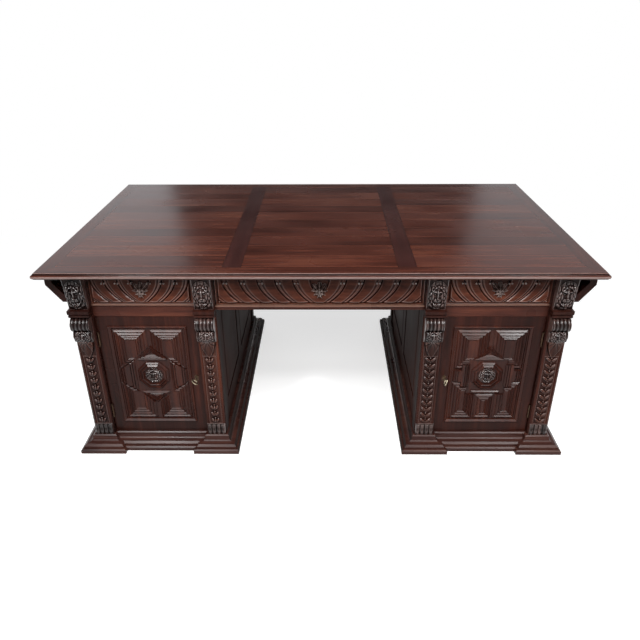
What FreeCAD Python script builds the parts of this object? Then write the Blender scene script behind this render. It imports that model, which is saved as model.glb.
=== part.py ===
import FreeCAD, Part
import math
import os
import re
import Sketcher

# A partners desk: two pedestals of cupboards and drawers under one framed top, alike on both long sides.
# Frame: +X to the right, +Y to the back, +Z up, origin on the floor under the middle. Millimetres.
# Pieces are drawn at the front right and mirrored or turned half round to the other places.

sizes = [
    ("topLength", 1932, "top, over its nosing"),
    ("topDepth", 1133, "top, over its nosing"),
    ("topHeight", 768, "writing surface above the floor"),
    ("topThick", 24, "edge of the top"),
    ("topRailWidth", 60, "frame of the top"),
    ("crossRailWidth", 64, "the two rails across the top"),
    ("crossRailCentre", 300, "middle of the top to a cross rail"),
    ("edgeStep", 9, "surface's edge behind the nosing's tip"),
    ("edgeArris", 1.5, "chamfer of the surface's edge"),
    ("coveRadius", 4, "cove above the nosing"),
    ("nosingTop", 6, "nosing below the surface"),
    ("nosingHeight", 13, "nosing"),
    ("nosingBulge", 3, "nosing's swell"),
    ("ovoloRadius", 5, "moulding under the nosing"),
    ("kneeholeWidth", 736, "between the pedestals' posts"),
    ("pedestalWidth", 518, "over the posts"),
    ("frontOverhang", 59.5, "top in front of the pilasters' faces"),
    ("plinthHeight", 61, "stepped base"),
    ("plinthProject", 50, "base beyond the body at the floor"),
    ("plinthFascia", 14, "lowest upright face of the base"),
    ("plinthStep", 6, "flat between two mouldings of the base"),
    ("plinthRoundLow", 5, "lowest chamfer of the base"),
    ("plinthRoundMid", 7, "middle chamfer of the base"),
    ("plinthMidHeight", 34, "top of the middle moulding of the base"),
    ("plinthBead", 4, "uppermost chamfer of the base"),
    ("plinthLanding", 9, "flat ledge of the base round the body"),
    ("plinthCoveRise", 51, "top of the base's cove"),
    ("plinthWall", 30, "base inside the body line"),
    ("postWidth", 76, "corner post, seen from the front"),
    ("postDepth", 56, "corner post, front to back"),
    ("pilasterWidth", 70, "carved pilaster"),
    ("pilasterThick", 7, "pilaster in front of its post"),
    ("doorSetback", 20, "door's face behind the pilasters"),
    ("sillHeight", 8, "cupboard floor above the base"),
    ("floorThick", 18, "cupboard floor"),
    ("floorLedge", 12, "base under the cupboard floor's edge"),
    ("sideSetback", 6, "side frame behind the posts"),
    ("sideThick", 20, "side frame"),
    ("sideStile", 64, "side frame's uprights"),
    ("sideRail", 84, "side frame's rails"),
    ("sidePanelThick", 10, "side panel"),
    ("sidePanelField", 4, "raised field of a side panel"),
    ("sidePanelBevel", 22, "bevel of a side panel"),
    ("partitionThick", 18, "board between the two sides' cupboards"),
    ("drawerOpening", 124, "drawer rail to the underside of the top"),
    ("drawerRailHeight", 50, "rail under the side drawers"),
    ("drawerRailThick", 24, "rail under the side drawers"),
    ("railBead", 9, "bead on a drawer rail"),
    ("railBeadBulge", 4, "bead's swell"),
    ("centreRailHeight", 16, "rail under the centre drawer"),
    ("centreRailDrop", 18, "centre rail's underside below the side rails' top"),
    ("centreRailSet", 10, "centre rail behind the pilasters' faces"),
    ("dustThick", 12, "board under a side drawer"),
    ("guideWidth", 11, "drawer guide"),
    ("guideHeight", 20, "drawer guide"),
    ("runnerWidth", 28, "centre drawer's runner"),
    ("runnerHeight", 20, "centre drawer's runner"),
    ("shelfThick", 16, "cupboard shelf"),
    ("shelfHeight", 312, "underside of the shelf above the floor"),
    ("cleatSize", 16, "strip under a shelf"),
    ("shelfSetback", 66, "shelf behind the pilasters' faces"),
    ("fitGap", 1.5, "round a drawer face and a door"),
    ("slideGap", 0.3, "under and beside a sliding piece"),
    ("faceThick", 17, "drawer face behind its carving"),
    ("faceBorder", 26, "plain end of a carved face"),
    ("faceMargin", 8, "plain edge above and below the carving"),
    ("gadroonRise", 12, "lobes in front of the face"),
    ("gadroonRound", 6, "bevel of a lobe"),
    ("gadroonGap", 5, "groove between two lobes"),
    ("gadroonLean", 32, "sweep of a lobe towards the pull"),
    ("sideGadroonPitch", 38, "lobes of a side drawer"),
    ("centreGadroonPitch", 60, "lobes of the centre drawer"),
    ("maskWidth", 68, "foliate pull"),
    ("maskRise", 17, "foliate pull"),
    ("maskGap", 10.5, "pull to the nearest lobe"),
    ("maskLeafWidth", 14, "one leaf of the pull"),
    ("boxSideGap", 8, "side drawer's box to the posts, seen from the front"),
    ("boxHeight", 100, "drawer box"),
    ("boxBackGap", 21, "drawer box to the board in the middle"),
    ("boxSide", 12, "sides and back of a drawer box"),
    ("boxBottom", 8, "bottom of a drawer box"),
    ("boxBottomLift", 6, "bottom above the sides' lower edge"),
    ("centreBoxGap", 6, "centre box to a post"),
    ("hingeGap", 2, "door to its post at the hinges"),
    ("doorThick", 22, "door frame"),
    ("doorStile", 42, "door's uprights"),
    ("doorRail", 42, "door's rails"),
    ("doorPanelBack", 4, "panel's ground behind the door frame's face"),
    ("doorPanelThick", 11, "door panel"),
    ("borderLip", 5, "border moulding over the frame"),
    ("borderWidth", 9, "border moulding inside the frame"),
    ("borderRise", 6, "border moulding in front of the frame"),
    ("fieldRise", 9, "crest of a field's moulding"),
    ("fieldFloor", 2, "middle of a field above the ground"),
    ("cornerShare", 0.52, "moulding of a corner field to the field's room"),
    ("smallBevel", 5, "bevel of a small field"),
    ("smallRise", 7, "small field above the ground"),
    ("fieldChannel", 4, "half the channel between two fields"),
    ("octagonSize", 116, "octagon across its flats"),
    ("octagonEye", 70, "opening of the octagon across its flats"),
    ("octagonRise", 13, "octagon's crest above the ground"),
    ("medallionSize", 56, "carved boss in the octagon"),
    ("medallionRise", 17, "carved boss"),
    ("medallionBevel", 9, "carved boss"),
    ("knuckleRadius", 3.5, "hinge knuckle"),
    ("knuckleProud", 0.4, "knuckle in front of the door"),
    ("leafHeight", 60, "hinge"),
    ("leafDepth", 16, "hinge leaf"),
    ("leafThick", 0.8, "hinge leaf"),
    ("earHeight", 3, "ear over and under a knuckle"),
    ("hingeInset", 60, "hinge to the door's end"),
    ("lockHeight", 312, "keyhole above the floor"),
    ("keyShank", 2.5, "key"),
    ("keyholeGap", 0.3, "beside the shank and the bit"),
    ("keyBit", 9, "reach of the bit"),
    ("keyBitThick", 2, "key bit"),
    ("keyReach", 24, "shank in front of the door"),
    ("bowRadius", 12, "key bow"),
    ("bowEye", 7.5, "opening of the bow"),
    ("bowThick", 3, "key bow"),
    ("caseWidth", 38, "lock case"),
    ("caseHeight", 48, "lock case"),
    ("caseThick", 12, "lock case"),
    ("caseWall", 2, "lock case"),
    ("boltHeight", 10, "lock bolt"),
    ("boltLength", 26, "lock bolt"),
    ("boltThrow", 8, "travel of the bolt"),
    ("plateWidth", 15, "keyhole plate"),
    ("plateHeight", 30, "keyhole plate"),
    ("plateThick", 1.2, "keyhole plate"),
    ("capitalHeight", 31, "banded block over a scroll"),
    ("capitalReach", 24, "banded block in front of the pilaster"),
    ("capitalStep", 4, "lower band behind the upper"),
    ("scrollRadius", 27, "scroll"),
    ("scrollWidth", 66, "scroll"),
    ("scrollReach", 33, "scroll in front of the pilaster"),
    ("corbelHeight", 133, "lion-head corbel"),
    ("corbelWidth", 66, "lion-head corbel"),
    ("corbelReach", 36, "back block of a corbel"),
    ("muzzleReach", 47, "muzzle in front of the pilaster"),
    ("cheekSlant", 0.9, "slant of a lion's cheek to its half width"),
    ("curlHeight", 44, "leaf curl under a scroll"),
    ("leafLength", 60, "fluted leaf on a pilaster"),
    ("leafRise", 3.5, "fluted leaf on a pilaster"),
    ("huskPitch", 38, "husks on a pilaster"),
    ("huskWidth", 30, "husk"),
    ("huskRise", 4, "husk"),
    ("huskStart", 140, "lowest husk above the floor"),
    ("pawHeight", 50, "lion paw"),
    ("pawWidth", 68, "lion paw"),
    ("pawReach", 8, "toes in front of the pilaster"),
    ("friezeReach", 68, "raked frieze beyond the posts"),
    ("friezeFoot", 18, "foot of the raked frieze"),
    ("friezeDrop", 110, "raked frieze below the top"),
    ("friezeEdge", 45, "upright edge of the raked frieze"),
    ("friezeThick", 24, "raked board"),
    ("friezeFootHeight", 16, "seat of the raked board on the posts"),
]

doc = FreeCAD.newDocument("PartnersDesk")
sheet = doc.addObject("Spreadsheet::Sheet", "Sizes")
for row, (alias, millimetres, meaning) in enumerate(sizes, start=1):
    sheet.set(f"A{row}", meaning)
    sheet.set(f"B{row}", str(millimetres))
    sheet.setAlias(f"B{row}", alias)
doc.recompute()
aliases = {alias for alias, millimetres, meaning in sizes}

parts = []


def linked(text):
    """The same expression with every size pointed at the sheet."""
    return re.sub(r"[A-Za-z_]\w*", lambda word: "Sizes." * (word.group() in aliases) + word.group(), text)


def measure(text):
    return float(sheet.evalExpression(text))


def bind(item, path, text):
    item.setExpression(path, linked(text))


def keep(item, label):
    """Names a finished piece; its label is its file's name."""
    item.Label = label
    parts.append(item)
    return item


# Sketches. A point is (x, y), or (x, y, radius) where an arc arrives at it;
# a plus radius turns left on the way and a minus one right.

def origin_item(body, role):
    return next(item for item in body.Origin.OriginFeatures if item.Role == role)


def edges_through(points):
    numbers = [(measure(point[0]), measure(point[1])) for point in points]
    edges = []
    for index, (x, y) in enumerate(numbers):
        target = (index + 1) % len(points)
        start = FreeCAD.Vector(x, y, 0)
        end = FreeCAD.Vector(*numbers[target], 0)
        if len(points[target]) == 2:
            edges.append(Part.LineSegment(start, end))
            continue
        radius = measure(points[target][2])
        chord = end - start
        half = chord.Length / 2
        sagitta = abs(radius) - math.sqrt(max(radius * radius - half * half, 0))
        right = FreeCAD.Vector(chord.y, -chord.x, 0).normalize()
        middle = (start + end) * 0.5 + right * math.copysign(sagitta, radius)
        edges.append(Part.Arc(start, middle, end))
    return edges


def draw(sketch, points):
    """Draws a closed outline and ties each corner and arc to the sheet."""
    first = sketch.GeometryCount
    count = len(points)
    sketch.addGeometry(edges_through(points))
    starts = []
    for index, point in enumerate(points):
        corner = FreeCAD.Vector(measure(point[0]), measure(point[1]), 0)
        near = sketch.getPoint(first + index, 1).distanceToPoint(corner)
        far = sketch.getPoint(first + index, 2).distanceToPoint(corner)
        starts.append(1 if near < far else 2)
    ties = []
    for index in range(count):
        after = (index + 1) % count
        ties.append(Sketcher.Constraint("Coincident", first + index, 3 - starts[index],
                                        first + after, starts[after]))
    texts = [None] * count
    for index, point in enumerate(points):
        ties.append(Sketcher.Constraint("DistanceX", -1, 1, first + index, starts[index],
                                        measure(point[0])))
        ties.append(Sketcher.Constraint("DistanceY", -1, 1, first + index, starts[index],
                                        measure(point[1])))
        texts += [point[0], point[1]]
    for index in range(count):
        target = points[(index + 1) % count]
        if len(target) == 3:
            ties.append(Sketcher.Constraint("Radius", first + index, abs(measure(target[2]))))
            texts.append(f"abs({target[2]})")
    numbers = sketch.addConstraint(ties)
    for number, text in zip(numbers, texts):
        if text:
            bind(sketch, f"Constraints[{number}]", text)


def sketch_in(body, role, lift, *outlines):
    sketch = body.newObject("Sketcher::SketchObject", "Sketch")
    sketch.AttachmentSupport = [(origin_item(body, role), "")]
    sketch.MapMode = "FlatFace"
    bind(sketch, "AttachmentOffset.Base.z", lift)
    for points in outlines:
        draw(sketch, points)
    return sketch


def pad(body, role, lift, length, *outlines, side="One side"):
    feature = body.newObject("PartDesign::Pad", "Pad")
    feature.Profile = sketch_in(body, role, lift, *outlines)
    bind(feature, "Length", length)
    feature.SideType = side
    return feature


def pocket(body, role, lift, length, *outlines, side="One side", upwards=False):
    feature = body.newObject("PartDesign::Pocket", "Pocket")
    feature.Profile = sketch_in(body, role, lift, *outlines)
    bind(feature, "Length", length)
    feature.SideType = side
    feature.Reversed = upwards
    return feature


def loft(body, role, *sections):
    """Straight-ruled loft through (outline, lift) sections."""
    sketches = [sketch_in(body, role, lift, points) for points, lift in sections]
    feature = body.newObject("PartDesign::AdditiveLoft", "Loft")
    feature.Profile = sketches[0]
    feature.Sections = sketches[1:]
    feature.Ruled = True
    return feature


def mould(body, path, path_lift, path_role, profile, profile_lift, profile_role):
    """A moulding that runs round a closed path with mitred corners."""
    feature = body.newObject("PartDesign::AdditivePipe", "Moulding")
    feature.Profile = sketch_in(body, profile_role, profile_lift, profile)
    feature.Spine = (sketch_in(body, path_role, path_lift, path), [])
    feature.Transition = "Right corner"
    return feature


def bevel(body, feature, role, height, size):
    """Chamfers the edges of the faces that lie at a height over a plane of the body."""
    doc.recompute()
    normal = origin_item(body, role).Placement.Rotation.multVec(FreeCAD.Vector(0, 0, 1))
    level = measure(height)
    names = []
    for number, face in enumerate(feature.Shape.Faces, start=1):
        heights = [vertex.Point.dot(normal) for vertex in face.Vertexes]
        if max(abs(value - level) for value in heights) < 0.001:
            names.append(f"Face{number}")
    edge = body.newObject("PartDesign::Chamfer", "Bevel")
    edge.Base = (feature, names)
    bind(edge, "Size", size)
    return edge


def new_body(name):
    return doc.addObject("PartDesign::Body", name)


def rectangle(left, right, low, high):
    return [(left, low), (right, low), (right, high), (left, high)]


def inset(points, amount):
    """The outline moved inwards by amount, with its corners mitred; points run anticlockwise."""
    numbers = [FreeCAD.Vector(measure(point[0]), measure(point[1]), 0) for point in points]
    moved = []
    for index, corner in enumerate(numbers):
        before = (corner - numbers[index - 1]).normalize()
        after = (numbers[(index + 1) % len(numbers)] - corner).normalize()
        turn = before + after
        inward = FreeCAD.Vector(-turn.y, turn.x, 0).normalize()
        stretch = 1 / math.sqrt((1 + before.dot(after)) / 2)
        x, y = points[index][:2]
        moved.append((f"{x} + ({inward.x * stretch:.6f}) * ({amount})",
                      f"{y} + ({inward.y * stretch:.6f}) * ({amount})"))
    return moved


def board(name, x_span, y_span, z_span):
    """A plain sawn board between two ends along each axis."""
    box = doc.addObject("Part::Box", name)
    for axis, size, (low, high) in zip("xyz", ("Length", "Width", "Height"), (x_span, y_span, z_span)):
        bind(box, f"Placement.Base.{axis}", low)
        bind(box, size, f"({high}) - ({low})")
    return box


# Copies. The desk is the same turned half round, and most of it is the same mirrored.

def mirrored(source):
    copy = doc.addObject("Part::Mirroring", source.Name + "Mirror")
    copy.Source = source
    copy.Normal = FreeCAD.Vector(1, 0, 0)
    return copy


def turned(source):
    return together([moved(source, "0", "0", "0", 180)])


def moved(source, x, y, z, turn=0, axis=FreeCAD.Vector(0, 0, 1)):
    link = doc.addObject("App::Link", source.Name + "Link")
    link.LinkedObject = source
    link.LinkTransform = True
    link.Placement = FreeCAD.Placement(FreeCAD.Vector(), FreeCAD.Rotation(axis, turn))
    for letter, text in zip("xyz", (x, y, z)):
        bind(link, f"Placement.Base.{letter}", text)
    return link


def together(items):
    group = doc.addObject("Part::Compound", "Group")
    group.Links = items
    return group


def both_pedestals(label, item):
    return keep(together([item, mirrored(item)]), label)


def four_corners(label, item):
    other = mirrored(item)
    return keep(together([item, other, turned(item), turned(other)]), label)


def four_places(item, other, name):
    """Four labelled pieces: item at the front right, other at the front left, each again on the back."""
    keep(item, f"front_right_{name}")
    keep(other, f"front_left_{name}")
    keep(turned(item), f"back_left_{name}")
    keep(turned(other), f"back_right_{name}")


# Places shared by several pieces.
pedInner = "kneeholeWidth / 2"
pedOuter = "(kneeholeWidth / 2 + pedestalWidth)"
openLow = "(kneeholeWidth / 2 + postWidth)"
openHigh = "(kneeholeWidth / 2 + pedestalWidth - postWidth)"
openMid = "(kneeholeWidth / 2 + pedestalWidth / 2)"
insideLow = "(kneeholeWidth / 2 + sideSetback + sideThick)"
insideHigh = "(kneeholeWidth / 2 + pedestalWidth - sideSetback - sideThick)"
pilasterFace = "(topDepth / 2 - frontOverhang)"
postFace = "(topDepth / 2 - frontOverhang - pilasterThick)"
postBack = "(topDepth / 2 - frontOverhang - pilasterThick - postDepth)"
doorFace = "(topDepth / 2 - frontOverhang - doorSetback)"
doorBack = "(topDepth / 2 - frontOverhang - doorSetback - doorThick)"
slabBottom = "(topHeight - topThick)"
drawerFloor = "(topHeight - topThick - drawerOpening)"
doorTop = "(topHeight - topThick - drawerOpening - drawerRailHeight - fitGap)"
doorBottom = "(plinthHeight + sillHeight + fitGap)"
doorMid = f"(({doorTop} + {doorBottom}) / 2)"
floorTop = "(plinthHeight + sillHeight)"
doorFree = f"({openLow} + fitGap)"
doorHung = f"({openHigh} - hingeGap)"


# The top: a mitred, moulded frame with two cross rails and three flush panels.

def edge_profile(edge):
    """Section of the frame; edge is the nosing's tip and the section lies on the plus side of it."""
    top = "topHeight"
    swell = "(nosingHeight ^ 2 / 4 + nosingBulge ^ 2) / (2 * nosingBulge)"
    return [
        (f"{edge} + topRailWidth", top),
        (f"{edge} + edgeStep", top),
        (f"{edge} + edgeStep - edgeArris", f"{top} - edgeArris"),
        (f"{edge} + edgeStep - edgeArris", f"{top} - nosingTop + coveRadius"),
        (f"{edge} + edgeStep - edgeArris - coveRadius", f"{top} - nosingTop", "-coveRadius"),
        (f"{edge} + nosingBulge", f"{top} - nosingTop"),
        (f"{edge} + nosingBulge", f"{top} - nosingTop - nosingHeight", swell),
        (f"{edge} + ovoloRadius", f"{top} - nosingTop - nosingHeight"),
        (f"{edge} + 2 * ovoloRadius", f"{top} - topThick", "ovoloRadius"),
        (f"{edge} + topRailWidth", f"{top} - topThick"),
    ]


def top_rail(label, length, depth, turn):
    """One frame rail, drawn along the front and turned to its side."""
    body = new_body(label)
    edge = f"-{depth} / 2"
    pad(body, "YZ_Plane", "0", length, edge_profile(edge), side="Symmetric")
    ends = []
    for sign in ("", "-"):
        tip = f"{sign}({length} / 2)"
        corner = f"{sign}({length} / 2 - topRailWidth)"
        ends.append([(tip, edge), (tip, f"{edge} + topRailWidth"), (corner, f"{edge} + topRailWidth")])
    mitre = pocket(body, "XY_Plane", "0", "2 * topHeight", *ends, side="Symmetric")
    mitre.Type = "ThroughAll"
    body.Placement = FreeCAD.Placement(FreeCAD.Vector(), FreeCAD.Rotation(FreeCAD.Vector(0, 0, 1), turn))
    keep(body, label)


def make_top():
    top_rail("top_rail_front", "topLength", "topDepth", 0)
    top_rail("top_rail_back", "topLength", "topDepth", 180)
    top_rail("top_rail_right", "topDepth", "topLength", 90)
    top_rail("top_rail_left", "topDepth", "topLength", -90)
    inner_y = "topDepth / 2 - topRailWidth"
    inner_x = "topLength / 2 - topRailWidth"
    cross_low = "crossRailCentre - crossRailWidth / 2"
    cross_high = "crossRailCentre + crossRailWidth / 2"
    across = (f"-({inner_y})", inner_y)
    up = (slabBottom, "topHeight")
    both_pedestals("top_cross_rails", board("CrossRail", (cross_low, cross_high), across, up))
    right = keep(board("TopPanel", (cross_high, inner_x), across, up), "top_panel_right")
    keep(mirrored(right), "top_panel_left")
    keep(board("TopPanelCentre", (f"-({cross_low})", cross_low), across, up), "top_panel_centre")


# The pedestals' bases: stepped mouldings that break round the blocks under the pilasters.

def body_line():
    """Plan of a pedestal's body, with the door's recess on both long sides."""
    block_low = openLow
    block_high = openHigh
    return [
        (pedInner, f"-{pilasterFace}"), (block_low, f"-{pilasterFace}"),
        (block_low, f"-{doorFace}"), (block_high, f"-{doorFace}"),
        (block_high, f"-{pilasterFace}"), (pedOuter, f"-{pilasterFace}"),
        (pedOuter, pilasterFace), (block_high, pilasterFace),
        (block_high, doorFace), (block_low, doorFace),
        (block_low, pilasterFace), (pedInner, pilasterFace),
    ]


def floor_line(clearance):
    """Plan of a cupboard floor, notched round the four posts and grown by clearance."""
    low = f"({pedInner} + sideSetback - {clearance})"
    high = f"({pedOuter} - sideSetback + {clearance})"
    side = f"({postBack} + {clearance})"
    front = f"({doorFace} + {clearance})"
    notch_low = f"({openLow} - {clearance})"
    notch_high = f"({openHigh} + {clearance})"
    return [
        (low, f"-{side}"), (notch_low, f"-{side}"), (notch_low, f"-{front}"), (notch_high, f"-{front}"),
        (notch_high, f"-{side}"), (high, f"-{side}"), (high, side), (notch_high, side),
        (notch_high, front), (notch_low, front), (notch_low, side), (low, side),
    ]


def base_profile():
    edge = pedOuter
    mid = f"{edge} + plinthProject - plinthRoundLow - plinthStep"
    cove = f"{mid} - plinthRoundMid - plinthStep"
    shelf = f"{edge} + plinthLanding"
    cove_size = f"(({cove}) - ({shelf}))"
    cove_rise = "(plinthCoveRise - plinthMidHeight)"
    cove_radius = f"-({cove_size} ^ 2 + {cove_rise} ^ 2) / (2 * {cove_size})"
    return [
        (edge, "0"),
        (f"{edge} + plinthProject", "0"),
        (f"{edge} + plinthProject", "plinthFascia"),
        (f"{edge} + plinthProject - plinthRoundLow", "plinthFascia + plinthRoundLow"),
        (mid, "plinthFascia + plinthRoundLow"),
        (mid, "plinthMidHeight - plinthRoundMid"),
        (f"{mid} - plinthRoundMid", "plinthMidHeight"),
        (cove, "plinthMidHeight"),
        (shelf, "plinthCoveRise", cove_radius),
        (shelf, "plinthHeight - plinthBead"),
        (f"{shelf} - plinthBead", "plinthHeight"),
        (edge, "plinthHeight"),
    ]


def make_plinths():
    body = new_body("Plinth")
    pad(body, "XY_Plane", "0", "plinthHeight", body_line())
    mould(body, body_line(), "0", "XY_Plane", base_profile(), "0", "XZ_Plane")
    hollow = rectangle(f"{pedInner} + plinthWall", f"{pedOuter} - plinthWall",
                       f"-({postBack} - floorLedge)", f"{postBack} - floorLedge")
    pocket(body, "XY_Plane", "0", "plinthHeight", hollow, upwards=True)
    pocket(body, "XY_Plane", "plinthHeight", "floorThick - sillHeight", floor_line("0"))
    keep(body, "plinth_right")
    keep(mirrored(body), "plinth_left")


# Carcase: corner posts, framed sides, floors, partitions, rails, boards and runners.

def post(name, left):
    body = new_body(name)
    outline = rectangle(left, f"{left} + postWidth", f"-{postFace}", f"-{postBack}")
    pad(body, "XY_Plane", "plinthHeight", f"{slabBottom} - plinthHeight", outline)
    return body


def bolt_low():
    return "(lockHeight + keyBit + 2 * slideGap)"


def make_posts():
    inner = post("InnerPost", pedInner)
    mortise = rectangle(f"{openLow} - boltThrow - slideGap", f"{openLow}",
                        f"-{doorBack} + slideGap", f"-{doorBack} + caseThick - caseWall - slideGap")
    pocket(inner, "XY_Plane", f"{bolt_low()} - slideGap", "boltHeight + 2 * slideGap", mortise,
           upwards=True)
    four_corners("corner_posts_inner", inner)
    four_corners("corner_posts_outer", post("OuterPost", f"({pedOuter} - postWidth)"))


def fielded_panel(name, face, outward, y_low, y_high, z_low, z_high):
    """Panel in a side frame, with a bevelled field on its outward face."""
    body = new_body(name)
    edge = rectangle(y_low, y_high, z_low, z_high)
    back = f"{face} - ({outward}) * sidePanelThick"
    low_face = back if outward == 1 else face
    pad(body, "YZ_Plane", low_face, "sidePanelThick", edge)
    loft(body, "YZ_Plane", (edge, face),
         (inset(edge, "sidePanelBevel"), f"{face} + ({outward}) * sidePanelField"))
    return body


def side_frame(name, outward):
    """Frame and two panels between the front and back posts; outward is 1 or -1 along X."""
    if outward == 1:
        span = (insideHigh, f"{pedOuter} - sideSetback")
        ground = f"({pedOuter} - sideSetback - sidePanelField)"
    else:
        span = (f"{pedInner} + sideSetback", insideLow)
        ground = f"({pedInner} + sideSetback + sidePanelField)"
    low = "(plinthHeight + sideRail)"
    high = f"({slabBottom} - sideRail)"
    full = ("plinthHeight", slabBottom)
    ends = f"({postBack} - sideStile)"
    pieces = [
        board(name + "FrontStile", span, (f"-{postBack}", f"-{ends}"), full),
        board(name + "BackStile", span, (ends, postBack), full),
        board(name + "Muntin", span, ("-sideStile / 2", "sideStile / 2"), (low, high)),
        board(name + "BottomRail", span, (f"-{ends}", ends), ("plinthHeight", low)),
        board(name + "TopRail", span, (f"-{ends}", ends), (high, slabBottom)),
        fielded_panel(name + "FrontPanel", ground, outward, f"-{ends}", "-sideStile / 2", low, high),
        fielded_panel(name + "BackPanel", ground, outward, "sideStile / 2", ends, low, high),
    ]
    return together(pieces)


def raked_frieze():
    """Raked board under the top's overhang at the end of the desk."""
    foot = f"({pedOuter} + friezeFoot)"
    tip = f"({pedOuter} + friezeReach)"
    low = f"({slabBottom} - friezeDrop)"
    body = new_body("EndFrieze")
    section = [
        (pedOuter, low), (foot, low), (tip, f"{slabBottom} - friezeEdge"), (tip, slabBottom),
        (f"{tip} - friezeThick", slabBottom),
        (f"{tip} - friezeThick", f"{slabBottom} - friezeEdge + friezeThick / 3"),
        (pedOuter, f"{low} + friezeFootHeight"),
    ]
    pad(body, "XZ_Plane", "0", f"2 * {postFace}", section, side="Symmetric")
    return body


def make_sides():
    both_pedestals("side_frames_outer", side_frame("OuterSide", 1))
    both_pedestals("side_frames_inner", side_frame("InnerSide", -1))
    both_pedestals("end_friezes", raked_frieze())


def make_cupboard_boards():
    ground = new_body("CupboardFloor")
    pad(ground, "XY_Plane", f"{floorTop} - floorThick", "floorThick", floor_line("0"))
    hole_low = (f"{pedInner} + sideSetback", insideLow)
    hole_high = (insideHigh, f"{pedOuter} - sideSetback")
    for low, high in (hole_low, hole_high):
        notch = rectangle(low, high, f"-{postBack}", postBack)
        pocket(ground, "XY_Plane", f"{floorTop}", "sillHeight", notch)
    both_pedestals("cupboard_floors", ground)
    middle = ("-partitionThick / 2", "partitionThick / 2")
    upright = board("Partition", (insideLow, insideHigh), middle, (floorTop, slabBottom))
    stop = board("CentreStop", (f"-({pedInner} + sideSetback)", f"{pedInner} + sideSetback"), middle,
                 (drawerFloor + " + centreRailHeight - centreRailDrop + slideGap + fitGap", slabBottom))
    keep(together([upright, mirrored(upright), stop]), "partitions")
    dust = new_body("DustBoard")
    rail_back = f"-({doorFace} - drawerRailThick)"
    outline = [
        (openLow, rail_back), (openHigh, rail_back),
        (openHigh, f"-{postBack}"), (insideHigh, f"-{postBack}"),
        (insideHigh, "-partitionThick / 2"),
        (insideLow, "-partitionThick / 2"), (insideLow, f"-{postBack}"),
        (openLow, f"-{postBack}"),
    ]
    pad(dust, "XY_Plane", f"{drawerFloor} - dustThick", "dustThick", outline)
    four_corners("dust_boards", dust)
    shelf_span = (f"-({pilasterFace} - shelfSetback)", "-partitionThick / 2")
    shelf = board("Shelf", (insideLow, insideHigh), shelf_span, ("shelfHeight", "shelfHeight + shelfThick"))
    four_corners("cupboard_shelves", shelf)
    cleats = []
    for low, high in ((insideLow, f"{insideLow} + cleatSize"), (f"{insideHigh} - cleatSize", insideHigh)):
        cleats.append(board("Cleat", (low, high), shelf_span, ("shelfHeight - cleatSize", "shelfHeight")))
    four_corners("shelf_cleats", together(cleats))


def rail_section(face, back, low, high):
    """Section of a drawer rail with a bead along its upper edge, facing the front."""
    bead = "(railBead ^ 2 / 4 + railBeadBulge ^ 2) / (2 * railBeadBulge)"
    return [(back, low), (back, high), (face, high), (face, f"{high} - railBead", bead), (face, low)]


def make_rails():
    rail = new_body("DrawerRail")
    face = f"-{doorFace}"
    section = rail_section(face, f"{face} + drawerRailThick", f"{drawerFloor} - drawerRailHeight",
                           drawerFloor)
    pad(rail, "YZ_Plane", openLow, f"{openHigh} - {openLow}", section)
    four_corners("side_drawer_rails", rail)
    centre = new_body("CentreRail")
    face = f"(-{pilasterFace} + centreRailSet)"
    low = f"({drawerFloor} - centreRailDrop)"
    high = f"({drawerFloor} - centreRailDrop + centreRailHeight)"
    section = rail_section(face, f"{face} + drawerRailThick", low, high)
    pad(centre, "YZ_Plane", "0", "kneeholeWidth", section, side="Symmetric")
    keep(together([centre, turned(centre)]), "centre_drawer_rails")
    guide_span = (f"-{postBack}", "-partitionThick / 2")
    guide_up = (drawerFloor, f"{drawerFloor} + guideHeight")
    box_low = f"({openLow} + boxSideGap - slideGap)"
    box_high = f"({openHigh} - boxSideGap + slideGap)"
    guides = [
        board("Guide", (f"{box_low} - guideWidth", box_low), guide_span, guide_up),
        board("Guide", (box_high, f"{box_high} + guideWidth"), guide_span, guide_up),
    ]
    four_corners("drawer_guides", together(guides))
    side = f"{pedInner} + sideSetback"
    runner = board("Runner", (f"{side} - runnerWidth", side), (f"-{postBack}", postBack),
                   (f"{high} - runnerHeight", high))
    both_pedestals("centre_drawer_runners", runner)


# Carved uprights, drawn about the middle of a pilaster with its face at y 0.

def at_pilasters(label, item):
    near = f"({pedInner} + postWidth / 2)"
    far = f"({pedOuter} - postWidth / 2)"
    places = []
    for x in (near, far, f"-{near}", f"-{far}"):
        places.append(moved(item, x, f"-{pilasterFace}", "0"))
        places.append(moved(item, x, pilasterFace, "0", 180))
    return keep(together(places), label)


capitalTop = "(topHeight - topThick - corbelHeight)"
scrollMid = "(topHeight - topThick - corbelHeight - capitalHeight - scrollRadius)"
curlTop = "(topHeight - topThick - corbelHeight - capitalHeight - 2 * scrollRadius)"
leafTop = "(topHeight - topThick - corbelHeight - capitalHeight - 2 * scrollRadius - curlHeight)"


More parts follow.
